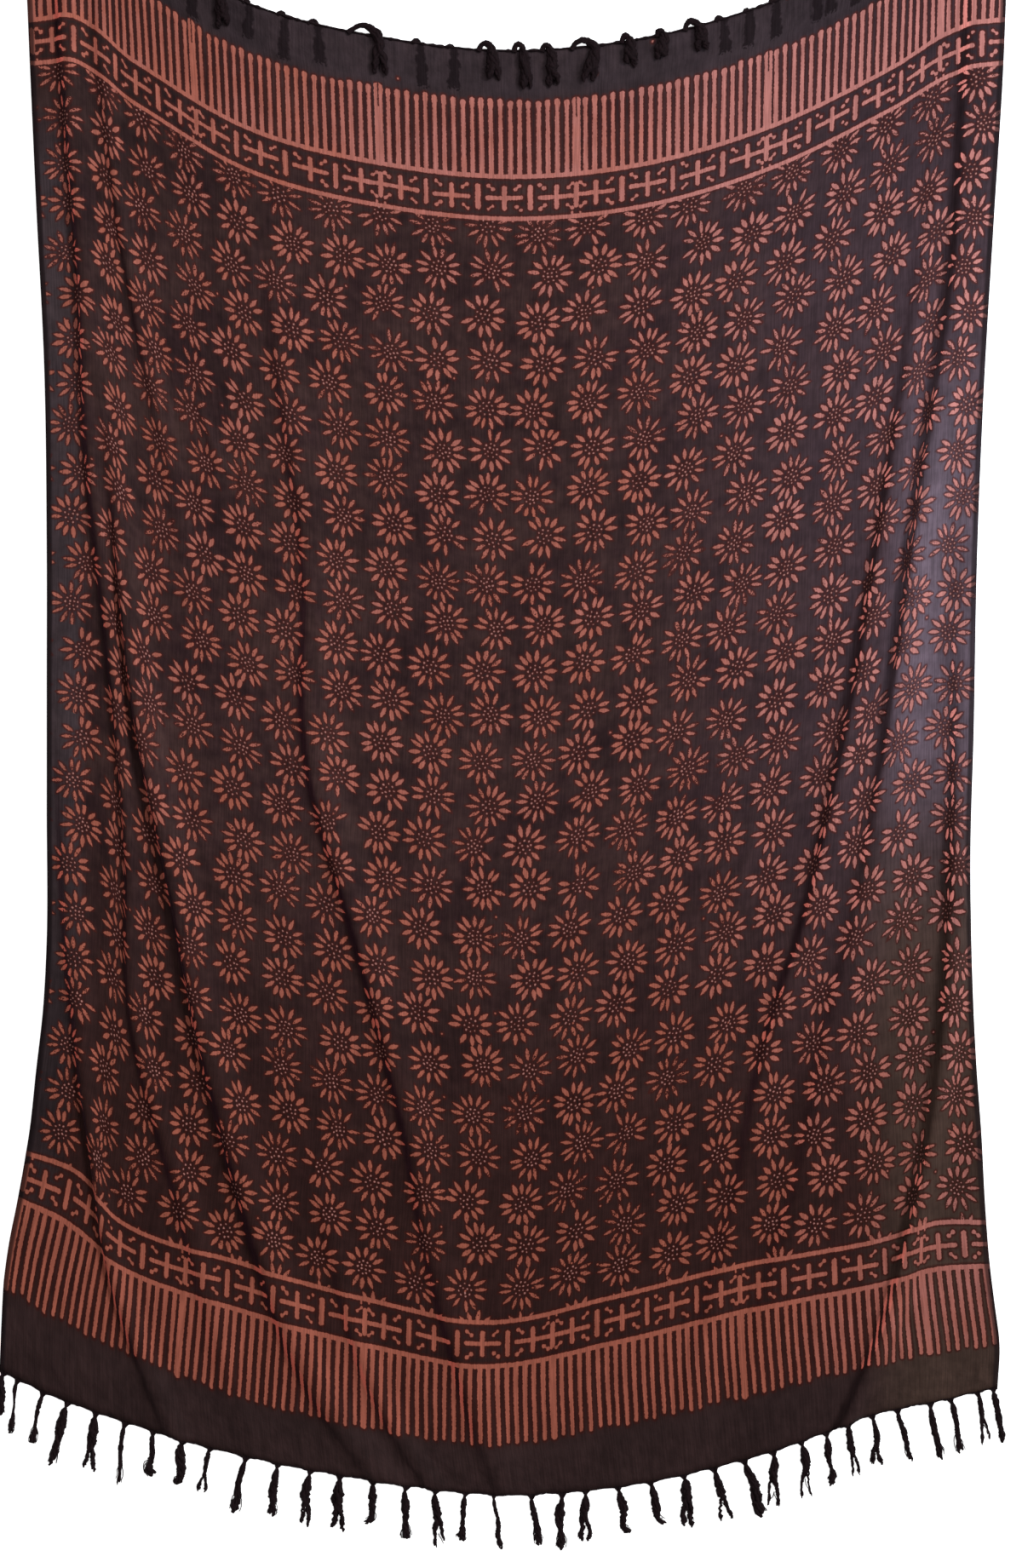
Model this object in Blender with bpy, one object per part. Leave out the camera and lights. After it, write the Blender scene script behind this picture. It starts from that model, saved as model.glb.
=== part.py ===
"""A batik sarong laid out flat, as solids: one woven panel with its soft folds, and a fringe of
twisted tassels at each short end.

Metres, +Z up. The sarong lies on the plane Z = 0, its width along X and its length along Y. The
lower fringe is at -Y and lies straight out from its hem. The tassels of the upper fringe are turned
back, some over the face of the cloth and some beneath it.

The cloth is worked out in its own two sizes, "across" (from the left selvedge) and "along" (from
the lower hem), and laid down by three short tables: how far the level threads bow, where the two
selvedges run, and how high each long fold stands.
"""
import math

import bmesh
import bpy
import numpy as np
from mathutils import Vector

MM = 0.001

# ---- driving sizes, in millimetres -------------------------------------------------------------
CLOTH_WIDTH = 1175.0        # selvedge to selvedge, measured over the folds
CLOTH_LENGTH = 1660.0       # hem to hem, without the fringes
WALL = 1.2                  # thickness of the panel
SEAM_GAP = 0.6              # clear space between the panel and a fringe's strip

HEAD_LIFT = 4.4             # the upper hem is lifted by the tassels turned under it
HEAD_LIFT_FULL = 70.0       # full lift over this much of the upper end
HEAD_LIFT_FADE = 62.0       # and fading out over this much more

STRIP_WIDTH = 4.0           # the knotted edge that each fringe grows from
LOWER_STRIP = (0.3, 3.1)    # its underside and top above the panel's underside
UPPER_STRIP = (0.5, 3.5, 6.3)   # underside, top of the roots turned under, top; above the floor

LOCK_WIDTH = 3.4            # each tassel parts into two locks
LOCK_GAP = 1.2
LOCK_TIP = 0.62             # size of a lock's tip against its root
LOCK_SPREAD = 2.4           # how far each tip moves away from its twin

# ---- how the level threads lie: heights of five threads above their own middle --------------------
ACROSS_SHARE = (0.0, 0.045, 0.12, 0.25, 0.38, 0.5, 0.62, 0.75, 0.88, 0.955, 1.0)
THREADS = (
    # along   middle   rise at each share of the width
    (0.0,     -797.0, (140, 116, 85, 43, 15, 0, 9, 42, 90, 108, 121)),      # lower hem
    (57.0,    -740.0, (182, 151, 112, 55, 19, 0, 21, 56, 90, 105, 113)),    # foot of the comb band
    (194.0,   -603.0, (190, 173, 113, 65, 25, 0, 28, 64, 90, 112, 112)),    # lower border's inner line
    (1473.0,   633.0, (174, 176, 129, 52, 14, 0, 13, 56, 123, 165, 174)),   # upper border's inner line
    (1660.0,   820.0, (178, 187, 132, 54, 15, 0, 13, 55, 122, 172, 180)),   # upper hem
)

# ---- where the selvedges run -----------------------------------------------------------------------
SELVEDGES = (
    # along    left     right
    (0.0,     -573.0,   545.0),
    (60.0,    -568.0,   547.0),
    (100.0,   -562.0,   542.0),
    (140.0,   -553.5,   537.0),
    (215.0,   -540.0,   531.0),
    (290.0,   -532.0,   527.0),
    (365.0,   -524.0,   521.5),
    (430.0,   -520.5,   518.0),
    (600.0,   -520.0,   513.5),
    (740.0,   -520.0,   517.5),
    (900.0,   -520.0,   521.0),
    (1120.0,  -523.0,   530.0),
    (1310.0,  -532.0,   541.0),
    (1450.0,  -538.0,   550.0),
    (1660.0,  -547.0,   558.0),
)

# ---- the long folds, from the left selvedge to the right --------------------------------------------
FOLD_ALONG = (0.0, 120.0, 260.0, 420.0, 600.0, 800.0, 1020.0, 1250.0, 1450.0, 1660.0)
FOLDS = (
    # name, left and right foot, then across and height at each station
    ("left edge", 18.0, 34.0,
     (213, 141, 75, 36, 24, 20, 18, 16, 14, 14), (6, 9, 10, 8, 5, 0, 0, 0, 0, 0)),
    ("left upper", 20.0, 30.0,
     (311, 261, 209, 132, 119, 85, 59, 57, 48, 41), (0, 5, 7, 7, 9, 9, 11, 13, 11, 7)),
    ("left main", 24.0, 48.0,
     (454, 360, 297, 235, 192, 132, 90, 78, 70, 66), (6, 10, 12, 14, 15, 15, 11, 3, 0, 0)),
    ("left inner", 16.0, 30.0,
     (514, 444, 395, 340, 290, 240, 185, 135, 98, 84), (5, 6, 3, 0, 0, 0, 2, 5, 4, 2)),
    ("left middle", 20.0, 48.0,
     (597, 563, 519, 479, 430, 364, 352, 327, 311, 293), (5, 8, 7, 9, 10, 9, 7, 5, 0, 0)),
    ("right inner", 22.0, 40.0,
     (794, 832, 876, 911, 975, 1013, 1048, 1082, 1102, 1112), (0, 4, 5, 8, 12, 14, 11, 5, 0, 0)),
    ("right main", 24.0, 54.0,
     (863, 900, 949, 988, 1045, 1079, 1107, 1134, 1138, 1144), (0, 4, 6, 6, 7, 14, 16, 15, 12, 6)),
    ("right edge", 22.0, 34.0,
     (995, 1059, 1106, 1140, 1158, 1161, 1162, 1163, 1163, 1163), (12, 13, 14, 14, 13, 7, 0, 0, 0, 0)),
)

# ---- the grid of the panel --------------------------------------------------------------------------
ROWS = (0, 28, 57, 100, 145, 194, 279, 365, 450, 535, 620, 706, 791, 876, 961, 1047, 1132, 1217,
        1303, 1388, 1473, 1528, 1559, 1592, 1626, 1660)
FOOT_STEPS = (0.38, 0.70, 1.0)          # columns down each side of a fold, as shares of its foot
FOOT_SHARE = 0.42                       # most of a gap between two folds that one foot may take
FLAT_COLUMNS = (2, 1, 1, 2, 1, 11, 1, 1, 2)     # columns on the flat between one fold and the next

# ---- the tassels ------------------------------------------------------------------------------------
LOWER_TASSELS = (
    # across  lean  reach: the tip is this far along X and -Y from the root
    (6, -3, 47), (24, -8, 60), (56, -14, 58), (85, -18, 71), (120, -9, 64), (154, -8, 69),
    (188, 2, 50), (223, -5, 51), (255, -10, 50), (297, -14, 61), (334, -8, 55), (371, -7, 59),
    (406, -9, 58), (444, -2, 50), (481, 1, 61), (516, 4, 64), (550, -3, 56), (583, 9, 60),
    (626, 8, 60), (660, -1, 66), (687, -3, 60), (725, 8, 56), (762, 14, 51), (800, 4, 60),
    (835, 14, 58), (870, 20, 58), (903, 0, 63), (937, 6, 63), (966, 11, 61), (997, 13, 58),
    (1030, 5, 55), (1059, 16, 59), (1096, 13, 62), (1121, 11, 59), (1152, 10, 56), (1169, 17, 67),
)
FACE, UNDER = 1, -1
UPPER_TASSELS = (
    # across  lean  reach  side of the cloth it is turned to
    (8, 3, 44, UNDER), (44, -4, 40, UNDER), (80, 5, 46, UNDER), (116, 0, 42, UNDER),
    (152, -6, 45, UNDER), (188, 4, 38, FACE), (224, -3, 47, UNDER), (259, 2, 41, FACE),
    (294, -4, 38, UNDER), (335, -4, 48, UNDER), (373, 2, 43, UNDER), (425, 11, 40, FACE),
    (485, 3, 47, UNDER), (523, 3, 43, UNDER), (559, 2, 30, FACE), (594, 4, 36, FACE),
    (624, 7, 38, FACE), (667, 9, 42, FACE), (706, -1, 34, FACE), (738, -3, 40, FACE),
    (774, 3, 41, UNDER), (806, 0, 41, UNDER), (835, -2, 40, UNDER), (868, -3, 38, UNDER),
    (905, 2, 44, UNDER), (935, -4, 40, FACE), (966, 3, 45, UNDER), (1002, -2, 39, UNDER),
    (1037, 5, 43, UNDER), (1072, -3, 41, UNDER), (1107, 2, 46, UNDER), (1139, -4, 40, UNDER),
    (1167, -2, 44, UNDER),
)

CORNER_CLEAR = 4.5                      # a corner's section is at least this far from the others
FINE = 1200                             # samples across the width when a thread is laid down

COLOURS = {                             # base colour, roughness
    "cloth": ((0.036, 0.018, 0.019, 1.0), 0.72),
    "fringe": ((0.012, 0.007, 0.008, 1.0), 0.85),
}


# ---- curves through a table ---------------------------------------------------------------------------
def through(stations, values, at):
    """A smooth curve through (stations, values), read at each place in at."""
    stations = np.asarray(stations, float)
    values = np.asarray(values, float)
    steps = np.diff(stations)
    slopes = np.diff(values) / steps
    tangent = np.empty_like(values)
    tangent[0], tangent[-1] = slopes[0], slopes[-1]
    tangent[1:-1] = (slopes[:-1] * steps[1:] + slopes[1:] * steps[:-1]) / (steps[:-1] + steps[1:])
    at = np.clip(np.asarray(at, float), stations[0], stations[-1])
    i = np.clip(np.searchsorted(stations, at, side="right") - 1, 0, len(steps) - 1)
    t = (at - stations[i]) / steps[i]
    lower = (1 + 2 * t) * (1 - t) ** 2 * values[i] + t * (1 - t) ** 2 * steps[i] * tangent[i]
    upper = t * t * (3 - 2 * t) * values[i + 1] + t * t * (t - 1) * steps[i] * tangent[i + 1]
    return lower + upper


def column(table, index):
    return [row[index] for row in table]


def smooth_step(t):
    t = np.clip(t, 0.0, 1.0)
    return t * t * (3.0 - 2.0 * t)


# ---- the lie of the cloth -------------------------------------------------------------------------------
def thread_height(across, along):
    """Y of the level thread at this distance along, at each place across."""
    share = np.asarray(across, float) / CLOTH_WIDTH
    stations = column(THREADS, 0)
    bows = [middle + through(ACROSS_SHARE, rise, share) for _, middle, rise in THREADS]
    k = min(int(np.searchsorted(stations, along, side="right")) - 1, len(stations) - 2)
    t = (along - stations[k]) / (stations[k + 1] - stations[k])
    return bows[k] * (1 - t) + bows[k + 1] * t


def fold_line(fold, along):
    return float(through(FOLD_ALONG, fold[3], along))


def fold_height(fold, along):
    return max(0.0, float(through(FOLD_ALONG, fold[4], along)))


def relief(across, along):
    """Height of the panel's underside above the floor."""
    across = np.asarray(across, float)
    height = np.zeros_like(across)
    for fold in FOLDS:
        crest = fold_line(fold, along)
        foot = np.where(across < crest, fold[1], fold[2])
        t = np.clip(np.abs(across - crest) / foot, 0.0, 1.0)
        height += fold_height(fold, along) * np.cos(0.5 * math.pi * t) ** 2
    lift = smooth_step((along - (CLOTH_LENGTH - HEAD_LIFT_FULL - HEAD_LIFT_FADE)) / HEAD_LIFT_FADE)
    return height + HEAD_LIFT * lift


def lay_thread(along):
    """One level thread laid down: across, X, Y, underside Z and the slope factor of the wall.

    The thread keeps its length, so X advances only by what the bow and the folds leave of it.
    """
    across = np.linspace(0.0, CLOTH_WIDTH, FINE + 1)
    y = thread_height(across, along)
    z = relief(across, along)
    step = across[1]
    run = np.sqrt(np.clip(1.0 - (np.diff(y) / step) ** 2 - (np.diff(z) / step) ** 2, 0.08, 1.0))
    x = np.concatenate(([0.0], np.cumsum(run)))
    left = float(through(column(SELVEDGES, 0), column(SELVEDGES, 1), along))
    right = float(through(column(SELVEDGES, 0), column(SELVEDGES, 2), along))
    x = left + (right - left) * x / x[-1]
    steep = np.sqrt(1.0 + np.gradient(z, x) ** 2)
    return across, x, y, z, steep


class Thread:
    """A laid thread that can be read at any place across the cloth."""

    def __init__(self, along):
        self.across, self.x, self.y, self.z, self.steep = lay_thread(along)

    def straightened(self, places):
        """The same thread, straight from each of these places to the next, as the panel's rim is."""
        self.x, self.y, self.z, self.steep = (
            np.interp(places, self.across, values) for values in (self.x, self.y, self.z, self.steep))
        self.across = np.asarray(places)
        return self

    def point(self, across, up=0.0):
        """A point on the underside, raised by up."""
        x = np.interp(across, self.across, self.x)
        y = np.interp(across, self.across, self.y)
        z = np.interp(across, self.across, self.z)
        return Vector((float(x), float(y), float(z) + up))

    def wall(self, across):
        return WALL * float(np.interp(across, self.across, self.steep))


def columns_at(along):
    """Places across the cloth of the panel's columns: crowded on the folds, sparse on the flat."""
    crests = [fold_line(fold, along) for fold in FOLDS]
    edges = [0.0] + crests + [CLOTH_WIDTH]
    places = [0.0]
    for k in range(len(edges) - 1):
        start, end = edges[k], edges[k + 1]
        gap = end - start
        after = min(FOLDS[k - 1][2], FOOT_SHARE * gap) if k > 0 else 0.0
        before = min(FOLDS[k][1], FOOT_SHARE * gap) if k < len(FOLDS) else 0.0
        if after:
            places += [start + after * s for s in FOOT_STEPS]
        flat_from, flat_to = start + after, end - before
        count = FLAT_COLUMNS[k]
        places += [flat_from + (flat_to - flat_from) * (i + 1) / (count + 1) for i in range(count)]
        if before:
            places += [end - before * s for s in reversed(FOOT_STEPS)]
        places.append(end)
    return places


# ---- mesh helpers -------------------------------------------------------------------------------------
def finish(name, bm, colour):
    bmesh.ops.recalc_face_normals(bm, faces=bm.faces)
    mesh = bpy.data.meshes.new(name)
    bm.to_mesh(mesh)
    bm.free()
    mesh.shade_smooth()
    obj = bpy.data.objects.new(name, mesh)
    bpy.context.scene.collection.objects.link(obj)
    base, roughness = COLOURS[colour]
    material = bpy.data.materials.new(name)
    material.use_nodes = True
    shader = material.node_tree.nodes["Principled BSDF"]
    shader.inputs["Base Color"].default_value = base
    shader.inputs["Roughness"].default_value = roughness
    shader.inputs["Metallic"].default_value = 0.0
    material.diffuse_color = base
    mesh.materials.append(material)
    return obj


def make_panel():
    """The woven panel: an underside and a face joined round the rim."""
    bm = bmesh.new()
    under, face = [], []
    for along in ROWS:
        thread = Thread(along)
        places = columns_at(along)
        under.append([bm.verts.new(thread.point(a) * MM) for a in places])
        face.append([bm.verts.new(thread.point(a, thread.wall(a)) * MM) for a in places])
    last_row, last_column = len(ROWS) - 1, len(under[0]) - 1
    for r in range(last_row):
        for c in range(last_column):
            bm.faces.new((face[r][c], face[r][c + 1], face[r + 1][c + 1], face[r + 1][c]))
            bm.faces.new((under[r][c], under[r + 1][c], under[r + 1][c + 1], under[r][c + 1]))
        for c in (0, last_column):
            bm.faces.new((under[r][c], face[r][c], face[r + 1][c], under[r + 1][c]))
    for c in range(last_column):
        for r in (0, last_row):
            bm.faces.new((under[r][c], under[r][c + 1], face[r][c + 1], face[r][c]))
    return finish("cloth_panel", bm, "cloth")


def edge_frame(thread, across, outward):
    """A point on the panel's hem, the hem's direction and the direction out of the cloth."""
    here = thread.point(across)
    reach = 2.0
    ahead = thread.point(min(across + reach, CLOTH_WIDTH)) - thread.point(max(across - reach, 0.0))
    tangent = Vector((ahead.x, ahead.y, 0.0)).normalized()
    out = Vector((tangent.y, -tangent.x, 0.0)) * outward
    return here, tangent, out


def strip_places(tassels, corners):
    """Sections along a strip: its two ends, both sides of each lock's root, and the hem's corners.

    corners are the hem's columns, which get a section wherever there is room for one.
    Returns the places, and each lock's first section, tassel and hand (-1 left, 1 right).
    """
    half = LOCK_GAP / 2
    sides = ((-half - LOCK_WIDTH, -half), (half, half + LOCK_WIDTH))
    locks = [(tassel[0] + inner, tassel[0] + outer, tassel, math.copysign(1.0, inner + outer))
             for tassel in tassels for inner, outer in sides]
    places = [0.0, CLOTH_WIDTH] + [edge for lock in locks for edge in lock[:2]]
    for corner in corners:
        if all(abs(corner - edge) > CORNER_CLEAR for edge in places):
            places.append(corner)
    places.sort()
    roots = [(places.index(start), tassel, hand) for start, _, tassel, hand in locks]
    return places, roots


def make_strip(bm, thread, places, outward, section):
    """The knotted edge: a section of (distance out, height) corners swept along the hem.

    Returns its wall faces by (section number, side of the section).
    """
    rings = []
    for across in places:
        here, _, out = edge_frame(thread, across, outward)
        ring = []
        for distance, height in section(here.z):
            spot = Vector((here.x, here.y, 0.0)) + out * distance
            spot.z = height
            ring.append(bm.verts.new(spot * MM))
        rings.append(ring)
    sides = len(rings[0])
    walls = {}
    for i in range(len(rings) - 1):
        for s in range(sides):
            n = (s + 1) % sides
            walls[i, s] = bm.faces.new((rings[i][s], rings[i][n], rings[i + 1][n], rings[i + 1][s]))
    bm.faces.new(rings[0])
    bm.faces.new(rings[-1])
    return walls


def grow_lock(bm, root, path, sizes, lateral):
    """Extrude a root face along a path; the section turns with the path and tapers by sizes."""
    face = root
    centre = face.calc_center_median() / MM
    points = [centre] + path
    frames = []
    for i, point in enumerate(points):
        if i == 0:
            forward = points[1] - point
        elif i == len(points) - 1:
            forward = point - points[i - 1]
        else:
            forward = (point - points[i - 1]).normalized() + (points[i + 1] - point).normalized()
        forward = forward.normalized()
        side = (lateral - forward * lateral.dot(forward)).normalized()
        frames.append((side, forward.cross(side)))
    for i in range(1, len(points)):
        face = bmesh.ops.extrude_discrete_faces(bm, faces=[face])["faces"][0]
        old_side, old_up = frames[i - 1]
        side, up = frames[i]
        ratio = sizes[i] / sizes[i - 1]
        for vert in face.verts:
            offset = vert.co / MM - points[i - 1]
            a, b = offset.dot(old_side) * ratio, offset.dot(old_up) * ratio
            vert.co = (points[i] + side * a + up * b) * MM


def make_lower_fringe():
    """The lower fringe: tassels that lie straight out from the hem on the floor."""
    bm = bmesh.new()
    corners = columns_at(0.0)
    thread = Thread(0.0).straightened(corners)
    places, roots = strip_places(LOWER_TASSELS, corners)
    inner, outer = SEAM_GAP, SEAM_GAP + STRIP_WIDTH
    low, high = LOWER_STRIP

    def section(base):
        return ((inner, base + low), (outer, base + low), (outer, base + high), (inner, base + high))

    walls = make_strip(bm, thread, places, 1.0, section)
    for index, (across, lean, reach), hand in roots:
        root = walls[index, 1]
        start = root.calc_center_median() / MM
        _, tangent, out = edge_frame(thread, across, 1.0)
        tip = Vector((lean + hand * LOCK_SPREAD, -reach, 0.0))
        rest = 2.1                                  # height of a lock's middle on the floor
        path = [start + out * 5.0 + Vector((0, 0, (rest - start.z) * 0.4)),
                start + out * 5.0 + (tip - out * 5.0) * 0.36,
                start + tip]
        path[1].z = rest
        path[2].z = rest - 0.5
        grow_lock(bm, root, path, (1.0, 0.9, 1.0, LOCK_TIP), tangent)
    return finish("fringe_lower", bm, "fringe")


def make_upper_fringe():
    """The upper fringe: tassels turned back over the face of the cloth or beneath it."""
    bm = bmesh.new()
    corners = columns_at(CLOTH_LENGTH)
    thread = Thread(CLOTH_LENGTH).straightened(corners)
    places, roots = strip_places(UPPER_TASSELS, corners)
    inner, outer = SEAM_GAP, SEAM_GAP + STRIP_WIDTH
    low, mid, high = UPPER_STRIP

    def section(base):
        raised = base - HEAD_LIFT                   # the folds lift the hem a little more
        return ((inner, low), (outer, low), (outer, raised + high), (inner, raised + high),
                (inner, mid))

    walls = make_strip(bm, thread, places, -1.0, section)
    for index, (across, lean, reach, side), hand in roots:
        _, tangent, out = edge_frame(thread, across, -1.0)
        back = Vector((lean + hand * LOCK_SPREAD, -reach, 0.0))
        if side == FACE:
            root = walls[index, 2]
            start = root.calc_center_median() / MM
            top = thread.point(across).z + WALL
            path = [start + Vector((0, 0, 2.1)),
                    start - out * 4.6,
                    start - out * 9.0 + (back + out * 9.0) * 0.15,
                    start + back]
            path[1].z = start.z + 3.0
            path[2].z = top + 2.7
            path[3].z = top + 1.9
            grow_lock(bm, root, path, (1.0, 0.95, 0.85, 0.85, LOCK_TIP), tangent)
        else:
            root = walls[index, 4]
            start = root.calc_center_median() / MM
            path = [start - out * 6.0,
                    start - out * 9.0 + (back + out * 9.0) * 0.3,
                    start + back]
            path[-1].z = start.z - 0.3
            grow_lock(bm, root, path, (1.0, 0.95, 0.95, LOCK_TIP), tangent)
    return finish("fringe_upper", bm, "fringe")


def place_origin(objects):
    """Move the meshes so that the origin is under the middle of the whole sarong."""
    corners = np.array([vert.co[:] for obj in objects for vert in obj.data.vertices])
    low, high = corners.min(axis=0), corners.max(axis=0)
    shift = Vector((-(low[0] + high[0]) / 2, -(low[1] + high[1]) / 2, 0.0))
    for obj in objects:
        for vert in obj.data.vertices:
            vert.co += shift
        obj.data.update()


def main():
    for obj in list(bpy.data.objects):
        bpy.data.objects.remove(obj, do_unlink=True)
    parts = [make_panel(), make_lower_fringe(), make_upper_fringe()]
    place_origin(parts)


main()
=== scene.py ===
"""The looks of a batik sarong laid out flat: a thin printed cloth with its folds and creases, and the
twisted yarns of its two fringes, on a pale floor.

Tables and places are in millimetres. The cloth is worked out in its own two sizes, "across" (from the
left selvedge) and "along" (from the lower hem), and laid down as its solid is. The print, the weave
and the selvedges are drawn in the same two sizes, which the cloth carries as a map named "cut".
"""
import math
import random
from functools import partialmethod, reduce

import bmesh
import bpy
import numpy as np
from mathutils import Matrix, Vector


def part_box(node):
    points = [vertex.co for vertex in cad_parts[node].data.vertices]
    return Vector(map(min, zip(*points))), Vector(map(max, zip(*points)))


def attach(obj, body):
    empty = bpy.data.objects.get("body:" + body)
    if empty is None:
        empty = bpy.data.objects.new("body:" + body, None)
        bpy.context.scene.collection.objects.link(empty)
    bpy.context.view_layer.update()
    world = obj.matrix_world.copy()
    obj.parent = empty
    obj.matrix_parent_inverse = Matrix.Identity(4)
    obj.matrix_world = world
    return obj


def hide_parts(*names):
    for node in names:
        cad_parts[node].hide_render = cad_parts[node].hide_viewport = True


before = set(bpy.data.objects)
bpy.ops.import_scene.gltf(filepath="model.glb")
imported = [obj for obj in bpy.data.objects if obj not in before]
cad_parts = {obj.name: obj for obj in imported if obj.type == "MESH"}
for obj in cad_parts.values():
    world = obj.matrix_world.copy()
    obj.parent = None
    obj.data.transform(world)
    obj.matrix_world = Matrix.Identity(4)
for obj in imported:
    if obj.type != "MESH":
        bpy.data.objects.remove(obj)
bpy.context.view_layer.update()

MM = 0.001

# ---- the cloth's sizes ----
CLOTH_WIDTH = 1175.0
CLOTH_LENGTH = 1660.0
CLOTH_WALL = 0.7            # thickness that the shell is given
COLUMNS = 192               # faces across the shell
BORDER_PRINT, FIELD_PRINT, HEADER_PRINT = "border", "field", "header"
ROWS = (                    # faces along it, in stretches, each with the finish of its print
    # from    to       faces  finish
    (0.0,     194.0,   30,    BORDER_PRINT),
    (194.0,   1473.0,  190,   FIELD_PRINT),
    (1473.0,  1610.0,  21,    BORDER_PRINT),
    (1610.0,  1660.0,  9,     HEADER_PRINT),
)
CROWDING = 4.0              # how much closer the columns stand on a steep flank
FINE = 1200                 # samples across the width when a thread is laid down

HEAD_LIFT = 4.4             # the upper hem is lifted by the tassels turned under it
HEAD_LIFT_FULL = 70.0       # this much of the cloth is lifted fully,
HEAD_LIFT_FADE = 62.0       # and this much beside it less and less
SELVEDGE_ROLL = (1.1, 5.0)  # height and width of the firm edge along both sides
HEM_ARCHES = (2.4, 17.0)    # how far the lower hem draws back between tassels, and where that ends

# ---- how the level threads lie: heights of five threads above their own middle ----
ACROSS_SHARE = (0.0, 0.045, 0.12, 0.25, 0.38, 0.5, 0.62, 0.75, 0.88, 0.955, 1.0)
THREADS = (
    # along   middle   rise at each share of the width
    (0.0,     -797.0, (140, 116, 85, 43, 15, 0, 9, 42, 90, 108, 121)),      # lower hem
    (57.0,    -740.0, (182, 151, 112, 55, 19, 0, 21, 56, 90, 105, 113)),    # foot of the comb band
    (194.0,   -603.0, (190, 173, 113, 65, 25, 0, 28, 64, 90, 112, 112)),    # lower border's inner line
    (1473.0,   633.0, (174, 176, 129, 52, 14, 0, 13, 56, 123, 165, 174)),   # upper border's inner line
    (1660.0,   820.0, (178, 187, 132, 54, 15, 0, 13, 55, 122, 172, 180)),   # upper hem
)

SELVEDGES = (
    # along    left     right
    (0.0,     -573.0,   545.0),
    (60.0,    -568.0,   547.0),
    (100.0,   -562.0,   542.0),
    (140.0,   -553.5,   537.0),
    (215.0,   -540.0,   531.0),
    (290.0,   -532.0,   527.0),
    (365.0,   -524.0,   521.5),
    (430.0,   -520.5,   518.0),
    (600.0,   -520.0,   513.5),
    (740.0,   -520.0,   517.5),
    (900.0,   -520.0,   521.0),
    (1120.0,  -523.0,   530.0),
    (1310.0,  -532.0,   541.0),
    (1450.0,  -538.0,   550.0),
    (1660.0,  -547.0,   558.0),
)

# ---- the long folds, from the left selvedge to the right ----
FOLD_ALONG = (0.0, 120.0, 260.0, 420.0, 600.0, 800.0, 1020.0, 1250.0, 1450.0, 1660.0)
FOLDS = (
    # name, left and right foot, then across and height at each station
    ("left edge", 18.0, 34.0,
     (213, 141, 75, 36, 24, 20, 18, 16, 14, 14), (6, 9, 10, 8, 5, 0, 0, 0, 0, 0)),
    ("left upper", 20.0, 30.0,
     (311, 261, 209, 132, 119, 85, 59, 57, 48, 41), (0, 5, 7, 7, 9, 9, 11, 13, 11, 7)),
    ("left main", 24.0, 48.0,
     (454, 360, 297, 235, 192, 132, 90, 78, 70, 66), (6, 10, 12, 14, 15, 15, 11, 3, 0, 0)),
    ("left inner", 16.0, 30.0,
     (514, 444, 395, 340, 290, 240, 185, 135, 98, 84), (5, 6, 3, 0, 0, 0, 2, 5, 4, 2)),
    ("left middle", 20.0, 48.0,
     (597, 563, 519, 479, 430, 364, 352, 327, 311, 293), (5, 8, 7, 9, 10, 9, 7, 5, 0, 0)),
    ("right inner", 22.0, 40.0,
     (794, 832, 876, 911, 975, 1013, 1048, 1082, 1102, 1112), (0, 4, 5, 8, 12, 14, 11, 5, 0, 0)),
    ("right main", 24.0, 54.0,
     (863, 900, 949, 988, 1045, 1079, 1107, 1134, 1138, 1144), (0, 4, 6, 6, 7, 14, 16, 15, 12, 6)),
    ("right edge", 22.0, 34.0,
     (995, 1059, 1106, 1140, 1158, 1161, 1162, 1163, 1163, 1163), (12, 13, 14, 14, 13, 7, 0, 0, 0, 0)),
)

# ---- softer creases, which the solid leaves out ----
CREASES = (
    # across, along, turn, half length, half width, height; turn 0 runs along the cloth, 90 across
    (606,  1334, 90,  34,  9,  1.8),
    (711,  1298, 80,  32,  9,  1.8),
    (446,  1368, 80,  28,  9,  1.6),
    (593,  1136, 22,  38,  10, 2.2),
    (645,  1236, 178, 36,  9,  1.8),
    (704,  1172, 146, 36,  9,  2.0),
    (790,  1094, 125, 62,  10, 2.4),
    (517,  1070, 90,  28,  9,  1.6),
    (650,  955,  110, 90,  11, 2.6),
    (776,  928,  88,  70,  10, 2.2),
    (640,  794,  108, 46,  10, 2.0),
    (742,  774,  96,  80,  10, 2.2),
    (667,  706,  98,  36,  9,  1.6),
    (661,  636,  87,  92,  12, 3.0),
    (814,  632,  95,  92,  11, 2.4),
    (624,  590,  74,  40,  10, 2.0),
    (666,  450,  106, 140, 14, 3.4),
    (625,  390,  88,  36,  10, 2.0),
    (671,  296,  135, 36,  10, 2.0),
    (864,  1326, 80,  40,  9,  1.8),
    (930,  1334, 66,  36,  9,  1.8),
    (803,  1212, 133, 44,  10, 2.0),
    (861,  1140, 128, 48,  10, 2.0),
    (938,  1178, 98,  34,  9,  1.6),
    (291,  1372, 2,   80,  12, 2.2),
    (230,  1136, 162, 44,  12, 3.4),
    (222,  1460, 24,  50,  12, 2.0),
    (1007, 376,  177, 84,  12, 2.4),
    (37,   224,  168, 42,  8,  2.2),
    (1164, 544,  -24, 34,  7,  2.0),
    (61,   26,   96,  30,  6,  1.8),
    (118,  36,   62,  18,  6,  1.4),
    (760,  850,  4,   260, 11, 1.3),
    (480,  900,  -5,  330, 10, 1.2),
    (880,  620,  8,   190, 13, 1.6),
    (820,  250,  6,   110, 14, 1.8),
    (380,  120,  -18, 70,  12, 1.8),
    (700,  90,   8,   60,  13, 1.8),
)

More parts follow.
